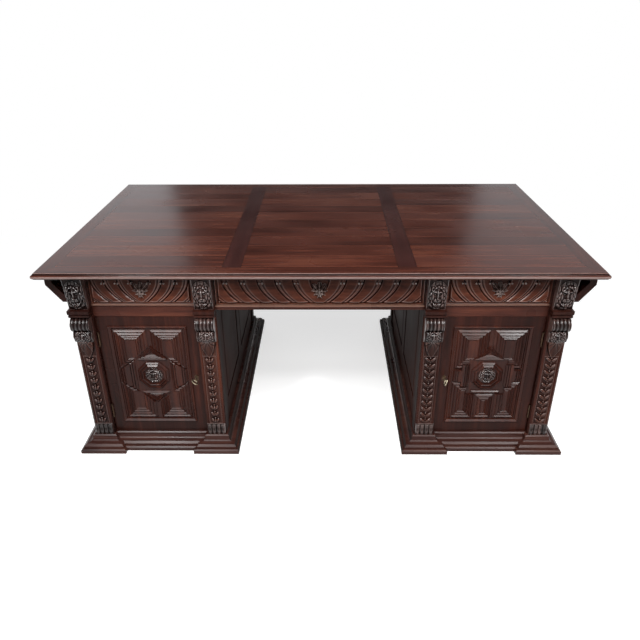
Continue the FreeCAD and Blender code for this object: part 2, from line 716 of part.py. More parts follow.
def make_pilaster():
    body = new_body("Pilaster")
    outline = rectangle("-pilasterWidth / 2", "pilasterWidth / 2", "plinthHeight",
                        f"{capitalTop} - capitalHeight")
    pad(body, "XZ_Plane", "-pilasterThick", "pilasterThick", outline)
    # arched leaf with a pointed foot
    half = "(pilasterWidth * 0.42)"
    shoulder = f"({leafTop} - leafLength * 0.45)"
    leaf = [
        ("0", f"{leafTop} - leafLength"),
        (f"{half} * 0.7", f"{shoulder} - leafLength * 0.2"), (half, shoulder),
        (f"{half} * 0.6", leafTop), (f"-{half} * 0.6", leafTop), (f"-{half}", shoulder),
        (f"-{half} * 0.7", f"{shoulder} - leafLength * 0.2"),
    ]
    pad(body, "XZ_Plane", "0", "leafRise", leaf)
    # chain of husks
    foot = "huskStart"
    husk = [
        ("0", foot), ("huskWidth / 2", f"{foot} + huskPitch * 0.8"), ("0", f"{foot} + huskPitch * 0.5"),
        ("-huskWidth / 2", f"{foot} + huskPitch * 0.8"),
    ]
    first = pad(body, "XZ_Plane", "0", "huskRise", husk)
    chain = body.newObject("PartDesign::LinearPattern", "HuskChain")
    chain.Originals = [first]
    chain.Direction = (origin_item(body, "Z_Axis"), [""])
    room = f"({leafTop} - leafLength - huskStart)"
    count = int(measure(f"floor({room} / huskPitch)"))
    chain.Occurrences = count
    bind(chain, "Length", f"huskPitch * {count - 1}")
    body.Tip = chain
    at_pilasters("pilasters", body)


def make_scroll():
    """Banded block over a scroll, with a leaf curl beneath it."""
    body = new_body("ScrollConsole")
    back = "(scrollReach - scrollRadius)"
    wheel = [
        ("0", f"{scrollMid} + scrollRadius"), (f"-{back}", f"{scrollMid} + scrollRadius"),
        (f"-{back} - scrollRadius", scrollMid, "scrollRadius"),
        (f"-{back}", f"{scrollMid} - scrollRadius", "scrollRadius"), ("0", f"{scrollMid} - scrollRadius"),
    ]
    pad(body, "YZ_Plane", "0", "scrollWidth", wheel, side="Symmetric")
    step = f"({capitalTop} - capitalHeight / 2)"
    low = f"({capitalTop} - capitalHeight)"
    reach = "(capitalReach - capitalStep)"
    bands = [
        ("pilasterThick", low), ("pilasterThick", capitalTop), ("-capitalReach", capitalTop),
        ("-capitalReach", f"{step} + capitalStep / 2"), (f"-{reach}", f"{step} - capitalStep / 2"),
        (f"-{reach}", f"{low} + capitalStep / 2"), (f"-{reach} + capitalStep", low),
    ]
    pad(body, "YZ_Plane", "0", "postWidth", bands, side="Symmetric")
    # leaf curl: a bracket that swells and dies away under the scroll
    curl = [
        ("0", leafTop), ("0", curlTop), ("-scrollReach * 0.6", curlTop),
        ("-scrollReach * 0.7", f"{curlTop} - curlHeight * 0.35"),
        ("-scrollReach * 0.15", leafTop, "curlHeight * 1.6"),
    ]
    pad(body, "YZ_Plane", "0", "scrollWidth * 0.7", curl, side="Symmetric")
    at_pilasters("scroll_consoles", body)


def head_section(half, reach):
    """Plan of a lion's head at one height: six corners about the middle."""
    cheek = f"({reach} - {half} * cheekSlant)"
    return [
        (f"-{half}", "0"), (f"-{half}", f"-{cheek}"), (f"-{half} * 0.45", f"-{reach}"),
        (f"{half} * 0.45", f"-{reach}"), (half, f"-{cheek}"), (half, "0"),
    ]


def make_corbel():
    """Block that leans out to the top, with a lion's head on its front."""
    body = new_body("LionCorbel")
    low = capitalTop
    side = [
        ("pilasterThick", low), ("pilasterThick", slabBottom), ("-corbelReach", slabBottom),
        ("-corbelReach", f"{slabBottom} - corbelHeight * 0.14"),
        ("-corbelReach * 0.5", f"{low} + corbelHeight * 0.3"),
        ("-corbelReach * 0.4", low),
    ]
    pad(body, "YZ_Plane", "0", "corbelWidth", side, side="Symmetric")
    # beard, jaw, nose, cheekbones and crown: height, half width and reach as shares of the corbel
    levels = [(0.03, 0.16, 0.66), (0.22, 0.32, 0.96), (0.48, 0.36, 1.0), (0.60, 0.46, 0.78),
              (0.94, 0.36, 0.74)]
    sections = []
    for height, half, reach in levels:
        plan = head_section(f"(corbelWidth * {half})", f"(muzzleReach * {reach})")
        sections.append((plan, f"{low} + corbelHeight * {height}"))
    loft(body, "XY_Plane", *sections)
    for sign in ("", "-"):
        tip = f"{sign}(corbelWidth * 0.46)"
        root = f"{sign}(corbelWidth * 0.24)"
        ear = [(root, f"{low} + corbelHeight * 0.82"), (tip, f"{low} + corbelHeight * 0.86"),
               (f"{sign}(corbelWidth * 0.40)", f"{low} + corbelHeight * 0.985")]
        pad(body, "XZ_Plane", "corbelReach * 0.8", "corbelReach * 0.25", ear)
    at_pilasters("lion_corbels", body)


def make_paw():
    """Four clawed toes under a low ankle."""
    body = new_body("LionPaw")
    top = "(plinthHeight + pawHeight)"
    ankle = [("0", "plinthHeight"), ("0", top), ("-pawReach * 0.25", top),
             ("-pawReach * 0.4", "plinthHeight")]
    pad(body, "YZ_Plane", "0", "pawWidth", ankle, side="Symmetric")
    toe_width = "(pawWidth / 4.4)"
    pitch = f"((pawWidth - {toe_width}) / 3)"
    toe = [
        ("0", "plinthHeight"), ("0", f"{top} - pawHeight * 0.1"),
        ("-pawReach * 0.5", f"{top} - pawHeight * 0.12"),
        ("-pawReach", f"{top} - pawHeight * 0.6"), ("-pawReach * 0.8", "plinthHeight"),
    ]
    first = pad(body, "YZ_Plane", "-pawWidth / 2", toe_width, toe)
    toes = body.newObject("PartDesign::LinearPattern", "Toes")
    toes.Originals = [first]
    toes.Direction = (origin_item(body, "X_Axis"), [""])
    toes.Occurrences = 4
    bind(toes, "Length", f"3 * {pitch}")
    body.Tip = toes
    at_pilasters("lion_paws", body)


# Drawers: a carved face with a foliate pull, and a box of sides, back and bottom.

def lobe(low, high, pitch):
    """The lobe nearest the pull; it runs down straight and then sweeps in towards the middle."""
    knee = f"({low} + ({high} - {low}) * 0.45)"
    near = "(maskWidth / 2 + maskGap)"
    far = f"({near} + {pitch} - gadroonGap)"
    bend = "gadroonLean * 0.25"
    return [
        (f"{near} - gadroonLean", low), (f"{far} - gadroonLean", low),
        (f"{far} - {bend}", knee), (far, high),
        (near, high), (f"{near} - {bend}", knee),
    ]


def drawer_face(name, half, low, high, pitch):
    """Face with gadroons either side of its middle, drawn about x 0."""
    face = new_body(name)
    pad(face, "XZ_Plane", f"{doorFace} - faceThick", "faceThick", rectangle(f"-{half}", half, low, high))
    field_low = f"({low} + faceMargin)"
    field_high = f"({high} - faceMargin)"
    first = pad(face, "XZ_Plane", doorFace, "gadroonRise", lobe(field_low, field_high, pitch))
    rounded = bevel(face, first, "XZ_Plane", f"{doorFace} + gadroonRise", "gadroonRound")
    room = f"({half} - faceBorder - maskWidth / 2 - maskGap + gadroonGap)"
    count = int(measure(f"floor({room} / {pitch})"))
    carving = face.newObject("PartDesign::MultiTransform", "Gadroons")
    carving.Originals = [first, rounded]
    row = face.newObject("PartDesign::LinearPattern", "Row")
    row.Direction = (origin_item(face, "X_Axis"), [""])
    row.Occurrences = count
    bind(row, "Length", f"{pitch} * {count - 1}")
    mirror = face.newObject("PartDesign::Mirrored", "OtherSide")
    mirror.MirrorPlane = (origin_item(face, "YZ_Plane"), [""])
    carving.Transformations = [row, mirror]
    face.Tip = carving
    return face


def foliate_pull(name):
    """Ribbed leaves that spread from a drop; drawn about the origin on the XZ plane."""
    body = new_body(name)
    reach = "(maskWidth / 2)"
    leaf = [("0", "0"), ("maskLeafWidth / 2", f"{reach} * 0.55"), ("0", reach),
            ("-maskLeafWidth / 2", f"{reach} * 0.55")]
    blade = pad(body, "XZ_Plane", "0", "maskRise * 0.6", leaf)
    fan = body.newObject("PartDesign::PolarPattern", "Leaves")
    fan.Originals = [blade]
    fan.Axis = (origin_item(body, "Y_Axis"), [""])
    fan.Occurrences = 9
    fan.Angle = 360
    body.Tip = fan
    drop = [
        (f"-{reach} * 0.2", f"-{reach} * 0.6"),
        (f"{reach} * 0.2", f"-{reach} * 0.6"), (f"{reach} * 0.4", "0"),
        (f"{reach} * 0.2", f"{reach} * 0.3"),
        (f"-{reach} * 0.2", f"{reach} * 0.3"), (f"-{reach} * 0.4", "0"),
    ]
    knob = pad(body, "XZ_Plane", "0", "maskRise", drop)
    bevel(body, knob, "XZ_Plane", "maskRise", "maskRise * 0.25")
    return body


def drawer_box(left, right, low):
    """Open box behind a face: two sides, a back and a raised bottom."""
    front = f"-({doorFace} - faceThick)"
    back = "(-partitionThick / 2 - boxBackGap)"
    high = f"({low} + boxHeight)"
    inner_left = f"({left} + boxSide)"
    inner_right = f"({right} - boxSide)"
    lift = f"({low} + boxBottomLift)"
    return together([
        board("BoxLeft", (left, inner_left), (front, back), (low, high)),
        board("BoxRight", (inner_right, right), (front, back), (low, high)),
        board("BoxBack", (inner_left, inner_right), (f"{back} - boxSide", back), (lift, high)),
        board("BoxBottom", (inner_left, inner_right), (front, f"{back} - boxSide"),
              (lift, f"{lift} + boxBottom")),
    ])


def make_drawers():
    pull = foliate_pull("FoliatePull")
    low = f"({drawerFloor} + fitGap)"
    high = f"({slabBottom} - fitGap)"
    pull_y = f"-{doorFace}"
    face = drawer_face("SideFace", f"({openMid} - {openLow} - fitGap)", low, high, "sideGadroonPitch")
    side = together([moved(face, openMid, "0", "0"), moved(pull, openMid, pull_y, f"({low} + {high}) / 2")])
    four_places(side, mirrored(side), "drawer_face")
    box = drawer_box(f"({openLow} + boxSideGap)", f"({openHigh} - boxSideGap)",
                     f"({drawerFloor} + slideGap)")
    four_places(box, mirrored(box), "drawer_box")
    rail_top = f"({drawerFloor} - centreRailDrop + centreRailHeight)"
    half = f"({pedInner} - fitGap)"
    low = f"({rail_top} + fitGap)"
    face = drawer_face("CentreFace", half, low, high, "centreGadroonPitch")
    centre = together([face, moved(pull, "0", pull_y, f"({low} + {high}) / 2")])
    keep(centre, "front_centre_drawer_face")
    keep(turned(centre), "back_centre_drawer_face")
    half = f"({pedInner} - centreBoxGap)"
    box = drawer_box(f"-{half}", half, f"({rail_top} + slideGap)")
    keep(box, "front_centre_drawer_box")
    keep(turned(box), "back_centre_drawer_box")


# Doors: a frame round a panel of mitred fields with an octagon in the middle.

def keyhole(name, y_span):
    """Square way for the shank over a slot for the bit."""
    cuts = []
    for half, low in (("keyShank", "lockHeight - keyShank"), ("(keyBitThick / 2)", "lockHeight - keyBit")):
        wide = f"({half} + keyholeGap)"
        cuts.append(board(name + "Slot", (f"{keyX} - {wide}", f"{keyX} + {wide}"), y_span,
                          (f"{low} - keyholeGap", "lockHeight + keyShank + keyholeGap")))
    both = doc.addObject("Part::MultiFuse", name + "Keyhole")
    both.Shapes = cuts
    return both


keyX = f"({doorFree} + doorStile / 2)"
panelLow = f"({doorFree} + doorStile)"
panelHigh = f"({doorHung} - doorStile)"
panelMid = f"(({doorFree} + {doorHung}) / 2)"
fieldHalf = f"(({panelHigh} - {panelLow}) / 2 - borderWidth - fieldChannel)"
fieldTall = f"(({doorTop} - {doorBottom}) / 2 - doorRail - borderWidth - fieldChannel)"


def door_frame():
    span = (f"-{doorFace}", f"-{doorBack}")
    full = (doorBottom, doorTop)
    lock_stile = board("LockStile", (doorFree, panelLow), span, full)
    cut = doc.addObject("Part::Cut", "LockStileCut")
    cut.Base = lock_stile
    cut.Tool = keyhole("Stile", (f"-{doorFace} - 1", f"-{doorBack} + 1"))
    return together([
        cut,
        board("HungStile", (panelHigh, doorHung), span, full),
        board("DoorBottomRail", (panelLow, panelHigh), span, (doorBottom, f"{doorBottom} + doorRail")),
        board("DoorTopRail", (panelLow, panelHigh), span, (f"{doorTop} - doorRail", doorTop)),
    ])


def corner_moulding(body, path, room, over_x, over_z):
    """Moulding that runs round the outer part of a corner field; room is the field's narrowest part."""
    wide = f"({room} * cornerShare)"
    ground = f"({doorFace} - doorPanelBack)"
    toward = "-" if over_x else ""
    edge = f"({panelMid} - ({toward}{fieldHalf}))"
    section = [
        (edge, f"-{ground}"), (edge, f"-{ground} - fieldFloor"),
        (f"{edge} + ({toward}{wide} * 0.6)", f"-{ground} - fieldRise"),
        (f"{edge} + ({toward}{wide})", f"-{ground} - fieldFloor"),
        (f"{edge} + ({toward}{wide})", f"-{ground}"),
    ]
    middle = f"({fieldTall} * 0.7)"
    lift = f"{doorMid} - {middle}" if over_z else f"{doorMid} + {middle}"
    mould(body, placed(flip(path, over_x, over_z)), ground, "XZ_Plane", section, lift, "XY_Plane")


def placed(points):
    return [(f"{panelMid} + ({x})", f"{doorMid} + ({z})") for x, z in points]


def flip(points, over_x, over_z):
    """The same outline on the other side of the middle, still anticlockwise."""
    x_sign = "-" if over_x else ""
    z_sign = "-" if over_z else ""
    copy = [(f"{x_sign}({x})", f"{z_sign}({z})") for x, z in points]
    return copy if over_x == over_z else copy[::-1]


def door_panel(name, stepped):
    """Panel with four corner fields, two arrow fields, two side fields and an octagon.

    With stepped the corner fields come down to the side fields in stairs, otherwise on a slant.
    """
    body = new_body(name)
    ground = f"({doorFace} - doorPanelBack)"
    opening = rectangle(panelLow, panelHigh, f"{doorBottom} + doorRail", f"{doorTop} - doorRail")
    pad(body, "XZ_Plane", f"{ground} - doorPanelThick", "doorPanelThick", opening)
    face = f"-{doorFace}"
    border = [
        (panelHigh, f"{face} + doorPanelBack + 1"),
        (f"{panelHigh} - borderWidth", f"{face} + doorPanelBack + 1"),
        (f"{panelHigh} - borderWidth", f"{face} + 1"),
        (f"{panelHigh} - borderWidth * 0.2", f"{face} - borderRise"),
        (f"{panelHigh} + borderLip * 0.4", f"{face} - borderRise"), (f"{panelHigh} + borderLip", face),
        (panelHigh, face),
    ]
    mould(body, opening, doorFace, "XZ_Plane", border, doorMid, "XY_Plane")
    shoulder = "(octagonSize / 2 + 14)"
    waist = "(octagonSize / 4)"
    apex = f"({shoulder} + ({fieldTall} - {shoulder}) * 0.39)"
    gap = "fieldChannel"
    wide = "(octagonSize / 2 - 4)"
    inner = f"({wide} + ({fieldHalf} - {wide}) * 0.19)"
    outer = f"({wide} + ({fieldHalf} - {wide}) * 0.575)"
    step = f"(({shoulder} + {waist}) / 2)"
    crown = [(f"-{gap} * 2", f"{apex} + {gap}"), (f"-{gap} * 2", fieldTall), (f"-{fieldHalf}", fieldTall)]
    if stepped:
        outline = crown + [
            (f"-{fieldHalf}", f"{waist} + {gap}"),
            (f"-{outer}", f"{waist} + {gap}"), (f"-{outer}", f"{step} + {gap}"),
            (f"-{inner}", f"{step} + {gap}"), (f"-{inner}", f"{shoulder} + {gap}"),
            (f"-{wide}", f"{shoulder} + {gap}"),
        ]
        path = crown + [(f"-{fieldHalf}", f"{shoulder} + {gap}"), (f"-{wide}", f"{shoulder} + {gap}")]
        side = [
            (f"-{fieldHalf}", f"-{waist} + {gap}"), (f"-{outer} + 2 * {gap}", f"-{waist} + {gap}"),
            (f"-{outer} + 2 * {gap}", f"-{step} + {gap}"), (f"-{wide} - 2 * {gap}", f"-{step} + {gap}"),
            (f"-{wide} - 2 * {gap}", f"{step} - {gap}"), (f"-{outer} + 2 * {gap}", f"{step} - {gap}"),
            (f"-{outer} + 2 * {gap}", f"{waist} - {gap}"), (f"-{fieldHalf}", f"{waist} - {gap}"),
        ]
    else:
        path = crown + [(f"-{fieldHalf}", f"{waist} + {gap}"), (f"-{wide}", f"{shoulder} + {gap}")]
        outline = path
        side = [
            (f"-{fieldHalf}", f"-{waist} + {gap}"), (f"-{wide} - 2 * {gap}", f"-{shoulder} + 2 * {gap}"),
            (f"-{wide} - 2 * {gap}", f"{shoulder} - 2 * {gap}"), (f"-{fieldHalf}", f"{waist} - {gap}"),
        ]
    arrow = [
        (f"-{wide} + 2 * {gap}", f"{shoulder} + {gap}"), (f"{wide} - 2 * {gap}", f"{shoulder} + {gap}"),
        ("0", f"{apex} - {gap}"),
    ]
    small = [placed(flip(arrow, False, over_z)) for over_z in (False, True)]
    small += [placed(flip(side, over_x, False)) for over_x in (False, True)]
    fields = pad(body, "XZ_Plane", ground, "smallRise", *small)
    bevel(body, fields, "XZ_Plane", f"{ground} + smallRise", "smallBevel")
    corners = [(over_x, over_z) for over_x in (False, True) for over_z in (False, True)]
    pad(body, "XZ_Plane", ground, "fieldFloor", *[placed(flip(outline, *corner)) for corner in corners])
    room = f"min({fieldTall} - {apex} - {gap}; {fieldHalf} - {wide})"
    for corner in corners:
        corner_moulding(body, path, room, *corner)
    octagon = []
    for corner_number in range(8):
        angle = math.radians(22.5 + 45 * corner_number)
        reach = 0.5 / math.cos(math.radians(22.5))
        octagon.append((f"octagonSize * {reach * math.cos(angle):.6f}",
                        f"octagonSize * {reach * math.sin(angle):.6f}"))
    rim = f"({panelMid} + octagonSize / 2)"
    eye = "((octagonSize - octagonEye) / 2)"
    section = [
        (rim, f"-{ground}"), (f"{rim} - 2", f"-{ground} - octagonRise * 0.7"),
        (f"{rim} - {eye} * 0.55", f"-{ground} - octagonRise"),
        (f"{rim} - {eye}", f"-{ground} - fieldFloor"), (f"{rim} - {eye}", f"-{ground}"),
    ]
    mould(body, placed(octagon), ground, "XZ_Plane", section, doorMid, "XY_Plane")
    # carved boss in the eye of the octagon
    head = new_body(name + "Boss")
    outline = placed([(f"({x}) * medallionSize / octagonSize",
                       f"({z}) * medallionSize / octagonSize") for x, z in octagon])
    knob = pad(head, "XZ_Plane", ground, "medallionRise", outline)
    bevel(head, knob, "XZ_Plane", f"{ground} + medallionRise", "medallionBevel")
    return together([body, head])


def make_doors():
    frame = door_frame()
    four_places(frame, mirrored(frame), "door_frame")
    stepped = door_panel("SteppedPanel", True)
    slanted = mirrored(door_panel("SlantedPanel", False))
    four_places(stepped, slanted, "door_panel")


# Hinges, locks and keys. The pin stands at the hung edge, just in front of the door.

rightKeyTurn = 20
leftKeyTurn = -50
pinX = f"({openHigh} - knuckleRadius - knuckleProud)"
pinY = f"(-{doorFace} - knuckleRadius - knuckleProud)"


def knuckle(low, high):
    """Turned barrel of a hinge between two heights."""
    barrel = doc.addObject("Part::Cylinder", "Knuckle")
    bind(barrel, "Radius", "knuckleRadius")
    bind(barrel, "Height", f"({high}) - ({low})")
    for axis, text in zip("xyz", (pinX, pinY, low)):
        bind(barrel, f"Placement.Base.{axis}", text)
    return barrel


def hinge(low):
    """The post's leaf with an ear at each end, and the door's leaf with the barrel between the ears."""
    high = f"({low} + leafHeight)"
    reach = f"-{doorFace} + leafDepth"
    behind = f"{pinY} + knuckleRadius * 0.75"
    pieces = [board("PostLeaf", (f"{openHigh} - leafThick", openHigh), (behind, reach), (low, high))]
    for ear_low, ear_high in ((low, f"{low} + earHeight"), (f"{high} - earHeight", high)):
        pieces.append(board("Ear", (f"{pinX} - knuckleRadius * 0.4", openHigh),
                            (f"{pinY} - knuckleRadius * 0.9", f"-{doorFace} - slideGap"),
                            (ear_low, ear_high)))
    post_half = doc.addObject("Part::MultiFuse", "PostHalf")
    post_half.Shapes = pieces
    span = (f"{low} + earHeight + slideGap", f"{high} - earHeight - slideGap")
    door_half = doc.addObject("Part::MultiFuse", "DoorHalf")
    leaf = board("DoorLeaf", (doorHung, f"{doorHung} + leafThick"), (pinY, reach), span)
    door_half.Shapes = [leaf, knuckle(*span)]
    return post_half, door_half


def lock_case():
    """Case on the back of the lock stile, hollow for the bolt and the key's bit."""
    low = f"({bolt_low()} + boltHeight + 6 - caseHeight)"
    high = f"({bolt_low()} + boltHeight + 6)"
    back = f"-{doorBack}"
    outer = board("CaseOuter", (doorFree, f"{doorFree} + caseWidth"),
                  (back, f"{back} + caseThick"), (low, high))
    inner = board("CaseInner", (f"{doorFree} + caseWall", f"{doorFree} + caseWidth - caseWall"),
                  (back, f"{back} + caseThick - caseWall"), (f"{low} + caseWall", f"{high} - caseWall"))
    mouth = board("CaseMouth", (doorFree, f"{doorFree} + caseWall"),
                  (f"{back} + slideGap", f"{back} + caseThick - caseWall - slideGap"),
                  (f"{bolt_low()} - slideGap", f"{bolt_low()} + boltHeight + slideGap"))
    hollow = doc.addObject("Part::MultiFuse", "CaseHollow")
    hollow.Shapes = [inner, mouth]
    case = doc.addObject("Part::Cut", "LockCase")
    case.Base = outer
    case.Tool = hollow
    return case


def keyhole_plate():
    body = new_body("KeyholePlate")
    half = "plateWidth / 2"
    tall = "(plateHeight / 2 - plateWidth / 2)"
    middle = "(lockHeight - keyBit / 3)"
    oval = [
        (f"{keyX} - {half}", f"{middle} - {tall}"), (keyX, f"{middle} - plateHeight / 2"),
        (f"{keyX} + {half}", f"{middle} - {tall}"), (f"{keyX} + {half}", f"{middle} + {tall}"),
        (keyX, f"{middle} + plateHeight / 2"), (f"{keyX} - {half}", f"{middle} + {tall}"),
    ]
    pad(body, "XZ_Plane", doorFace, "plateThick", oval)
    plate = doc.addObject("Part::Cut", "Plate")
    plate.Base = body
    plate.Tool = keyhole("Plate", (f"-{doorFace} - plateThick - 1", f"-{doorFace} + 1"))
    return plate


def lock_bolt():
    back = f"-{doorBack}"
    return board("LockBolt", (doorFree, f"{doorFree} + boltLength"),
                 (f"{back} + 2 * slideGap", f"{back} + caseThick - caseWall - 2 * slideGap"),
                 (bolt_low(), f"{bolt_low()} + boltHeight"))


def door_key():
    """Key with an open bow, drawn about its own axis: y 0 is the door's face and the bit hangs down."""
    body = new_body("Key")
    tip = "(doorThick + caseThick - caseWall - 2 * slideGap)"
    round_shank = doc.addObject("Part::Cylinder", "Shank")
    bind(round_shank, "Radius", "keyShank")
    bind(round_shank, "Height", f"keyReach + {tip}")
    round_shank.Placement = FreeCAD.Placement(FreeCAD.Vector(),
                                              FreeCAD.Rotation(FreeCAD.Vector(1, 0, 0), -90))
    bind(round_shank, "Placement.Base.y", "-keyReach")
    bit = board("Bit", ("-keyBitThick / 2", "keyBitThick / 2"), (f"{tip} - 6", tip), ("-keyBit", "0"))
    ring_y = "(-keyReach - bowRadius * 0.8)"
    oval = []
    eye = []
    for corner_number in range(12):
        angle = math.radians(30 * corner_number)
        y = f"{ring_y} + bowRadius * {math.cos(angle):.6f}"
        z = f"bowRadius * 1.2 * {math.sin(angle):.6f}"
        oval.append((y, z))
        eye.append((f"{ring_y} + bowEye * {math.cos(angle):.6f}", f"bowEye * 1.25 * {math.sin(angle):.6f}"))
    pad(body, "YZ_Plane", "0", "bowThick", oval, side="Symmetric")
    pocket(body, "YZ_Plane", "0", "2 * bowThick", eye, side="Symmetric")
    key = doc.addObject("Part::MultiFuse", "WholeKey")
    key.Shapes = [body, round_shank, bit]
    return key


def make_fittings():
    post_halves = []
    door_halves = []
    for low in (f"({doorBottom} + hingeInset)", f"({doorTop} - hingeInset - leafHeight)"):
        post_half, door_half = hinge(low)
        post_halves.append(post_half)
        door_halves.append(door_half)
    four_corners("post_hinges", together(post_halves))
    fittings = together(door_halves + [lock_case(), keyhole_plate()])
    four_places(fittings, mirrored(fittings), "door_fittings")
    bolt = lock_bolt()
    four_places(bolt, mirrored(bolt), "lock_bolt")
    key = door_key()
    along = FreeCAD.Vector(0, 1, 0)
    keep(together([moved(key, keyX, f"-{doorFace}", "lockHeight", rightKeyTurn, along)]), "front_right_key")
    keep(together([moved(key, f"-{keyX}", f"-{doorFace}", "lockHeight", leftKeyTurn, along)]),
         "front_left_key")


make_top()
make_plinths()
make_posts()
make_sides()
make_cupboard_boards()
make_rails()
make_pilaster()
make_scroll()
make_corbel()
make_paw()
make_drawers()
make_doors()
make_fittings()
doc.recompute()

for item in doc.Objects:
    if "Invalid" in item.State or "Error" in item.State:
        raise RuntimeError(f"{item.Label} failed: {item.State}")
labels = [item.Label for item in parts]
if len(set(labels)) != len(labels):
    raise RuntimeError("two pieces share a label")
for item in parts:
    if item.Shape.isNull() or not item.Shape.isValid():
        raise RuntimeError(f"{item.Label} has no valid shape")

os.makedirs("parts", exist_ok=True)
for item in parts:
    item.Shape.exportStep(os.path.join("parts", item.Label + ".step"))
    print(item.Label, len(item.Shape.Solids), "solids")
print(len(parts), "pieces")
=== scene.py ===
import bpy
import math
import numpy as np
from mathutils import Matrix, Vector


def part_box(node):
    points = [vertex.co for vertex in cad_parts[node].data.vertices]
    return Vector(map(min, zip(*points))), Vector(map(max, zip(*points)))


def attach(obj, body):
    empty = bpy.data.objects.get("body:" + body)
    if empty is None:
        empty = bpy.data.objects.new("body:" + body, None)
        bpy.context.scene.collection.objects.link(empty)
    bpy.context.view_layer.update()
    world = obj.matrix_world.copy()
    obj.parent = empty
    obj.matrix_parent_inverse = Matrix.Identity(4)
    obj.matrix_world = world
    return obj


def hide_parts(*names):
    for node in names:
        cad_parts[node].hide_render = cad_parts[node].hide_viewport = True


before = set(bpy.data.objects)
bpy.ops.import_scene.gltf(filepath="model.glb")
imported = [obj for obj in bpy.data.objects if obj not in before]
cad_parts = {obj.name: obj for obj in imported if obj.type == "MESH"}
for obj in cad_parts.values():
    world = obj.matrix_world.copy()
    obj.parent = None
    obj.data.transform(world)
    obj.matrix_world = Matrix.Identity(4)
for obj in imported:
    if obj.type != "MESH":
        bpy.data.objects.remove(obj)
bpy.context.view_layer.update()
mm = 0.001
stage = bpy.context.scene.collection


class Values(dict):
    # a dictionary whose values are also read as size.width
    __getattr__ = dict.__getitem__


# Node helpers. An input is given as a value, a socket, or a node whose first output feeds it.

def feed(tree, node, inputs):
    for key, value in inputs.items():
        if isinstance(value, bpy.types.Node):
            value = value.outputs[0]
        if isinstance(value, bpy.types.NodeSocket):
            tree.links.new(value, node.inputs[key])
        else:
            node.inputs[key].default_value = value
    return node


def addNode(tree, kind, inputs=None, **settings):
    node = tree.nodes.new(kind)
    for key, value in settings.items():
        setattr(node, key, value)
    return feed(tree, node, inputs or {})


def maths(tree, operation, *operands):
    return addNode(tree, "ShaderNodeMath", dict(enumerate(operands)), operation=operation)


def spread(tree, value, toMin, toMax, fromMin=0.0, fromMax=1.0, **settings):
    return addNode(tree, "ShaderNodeMapRange", {"Value": value, "From Min": fromMin,
        "From Max": fromMax, "To Min": toMin, "To Max": toMax}, **settings)


def noise(tree, place, scale, detail, roughness=0.5):
    return addNode(tree, "ShaderNodeTexNoise", {"Vector": place, "Scale": scale, "Detail": detail,
        "Roughness": roughness})


def mixOver(tree, under, over, share):
    mix = addNode(tree, "ShaderNodeMix", {"Factor": share, "A": under, "B": (*over, 1)},
        data_type="RGBA")
    return mix.outputs["Result"]


def colourRamp(tree, value, *stops):
    ramp = addNode(tree, "ShaderNodeValToRGB", {"Fac": value})
    elements = ramp.color_ramp.elements
    for place, colour in stops[1:-1]:
        elements.new(place)
    for element, (place, colour) in zip(elements, stops):
        element.position, element.color = place, (*colour, 1)
    return ramp


def newMaterial(name):
    material = bpy.data.materials.new(name)
    material.use_nodes = True
    tree = material.node_tree
    place = addNode(tree, "ShaderNodeTexCoord").outputs["Object"]
    return material, tree, tree.nodes["Principled BSDF"], place


def newGroup(name, inputs, outputs, kind="ShaderNodeTree"):
    # an input is listed with its default, or with the name of its type where it has none
    tree = bpy.data.node_groups.new(name, kind)
    types = {float: "Float", int: "Int", tuple: "Vector"}
    for label, value in inputs.items():
        typed = isinstance(value, str)
        socket = "NodeSocket" + (value if typed else types[type(value)])
        item = tree.interface.new_socket(label, in_out="INPUT", socket_type=socket)
        if not typed:
            item.default_value = value
    for label, value in outputs.items():
        tree.interface.new_socket(label, in_out="OUTPUT", socket_type="NodeSocket" + value)
    return tree, tree.nodes.new("NodeGroupInput").outputs


# Shader groups for grain, boards, the kneehole's mask, painted shade in hollows with painted highlight
# on crests, and joints

def makeGrainGroup():
    tree, given = newGroup("streakyGrain", {"Place": "Vector", "Stretch": (4, 60, 60), "Wave": 0.6},
        {"Tone": "Float", "Pores": "Float", "Patch": "Float"})
    place = given["Place"]
    stretched = addNode(tree, "ShaderNodeVectorMath", {0: place, 1: given["Stretch"]},
        operation="MULTIPLY")
    drift = noise(tree, place, scale=2.5, detail=2)
    bent = addNode(tree, "ShaderNodeVectorMath", {0: drift.outputs["Color"], 1: given["Wave"],
        2: stretched}, operation="MULTIPLY_ADD")
    streak = noise(tree, bent, scale=1, detail=6, roughness=0.62)
    pores = spread(tree, noise(tree, bent, scale=5, detail=3, roughness=0.7), 0, 1, fromMin=0.56,
        fromMax=0.72)
    patch = noise(tree, place, scale=3.2, detail=3)
    addNode(tree, "NodeGroupOutput", {"Tone": streak, "Pores": pores, "Patch": patch})
    return tree


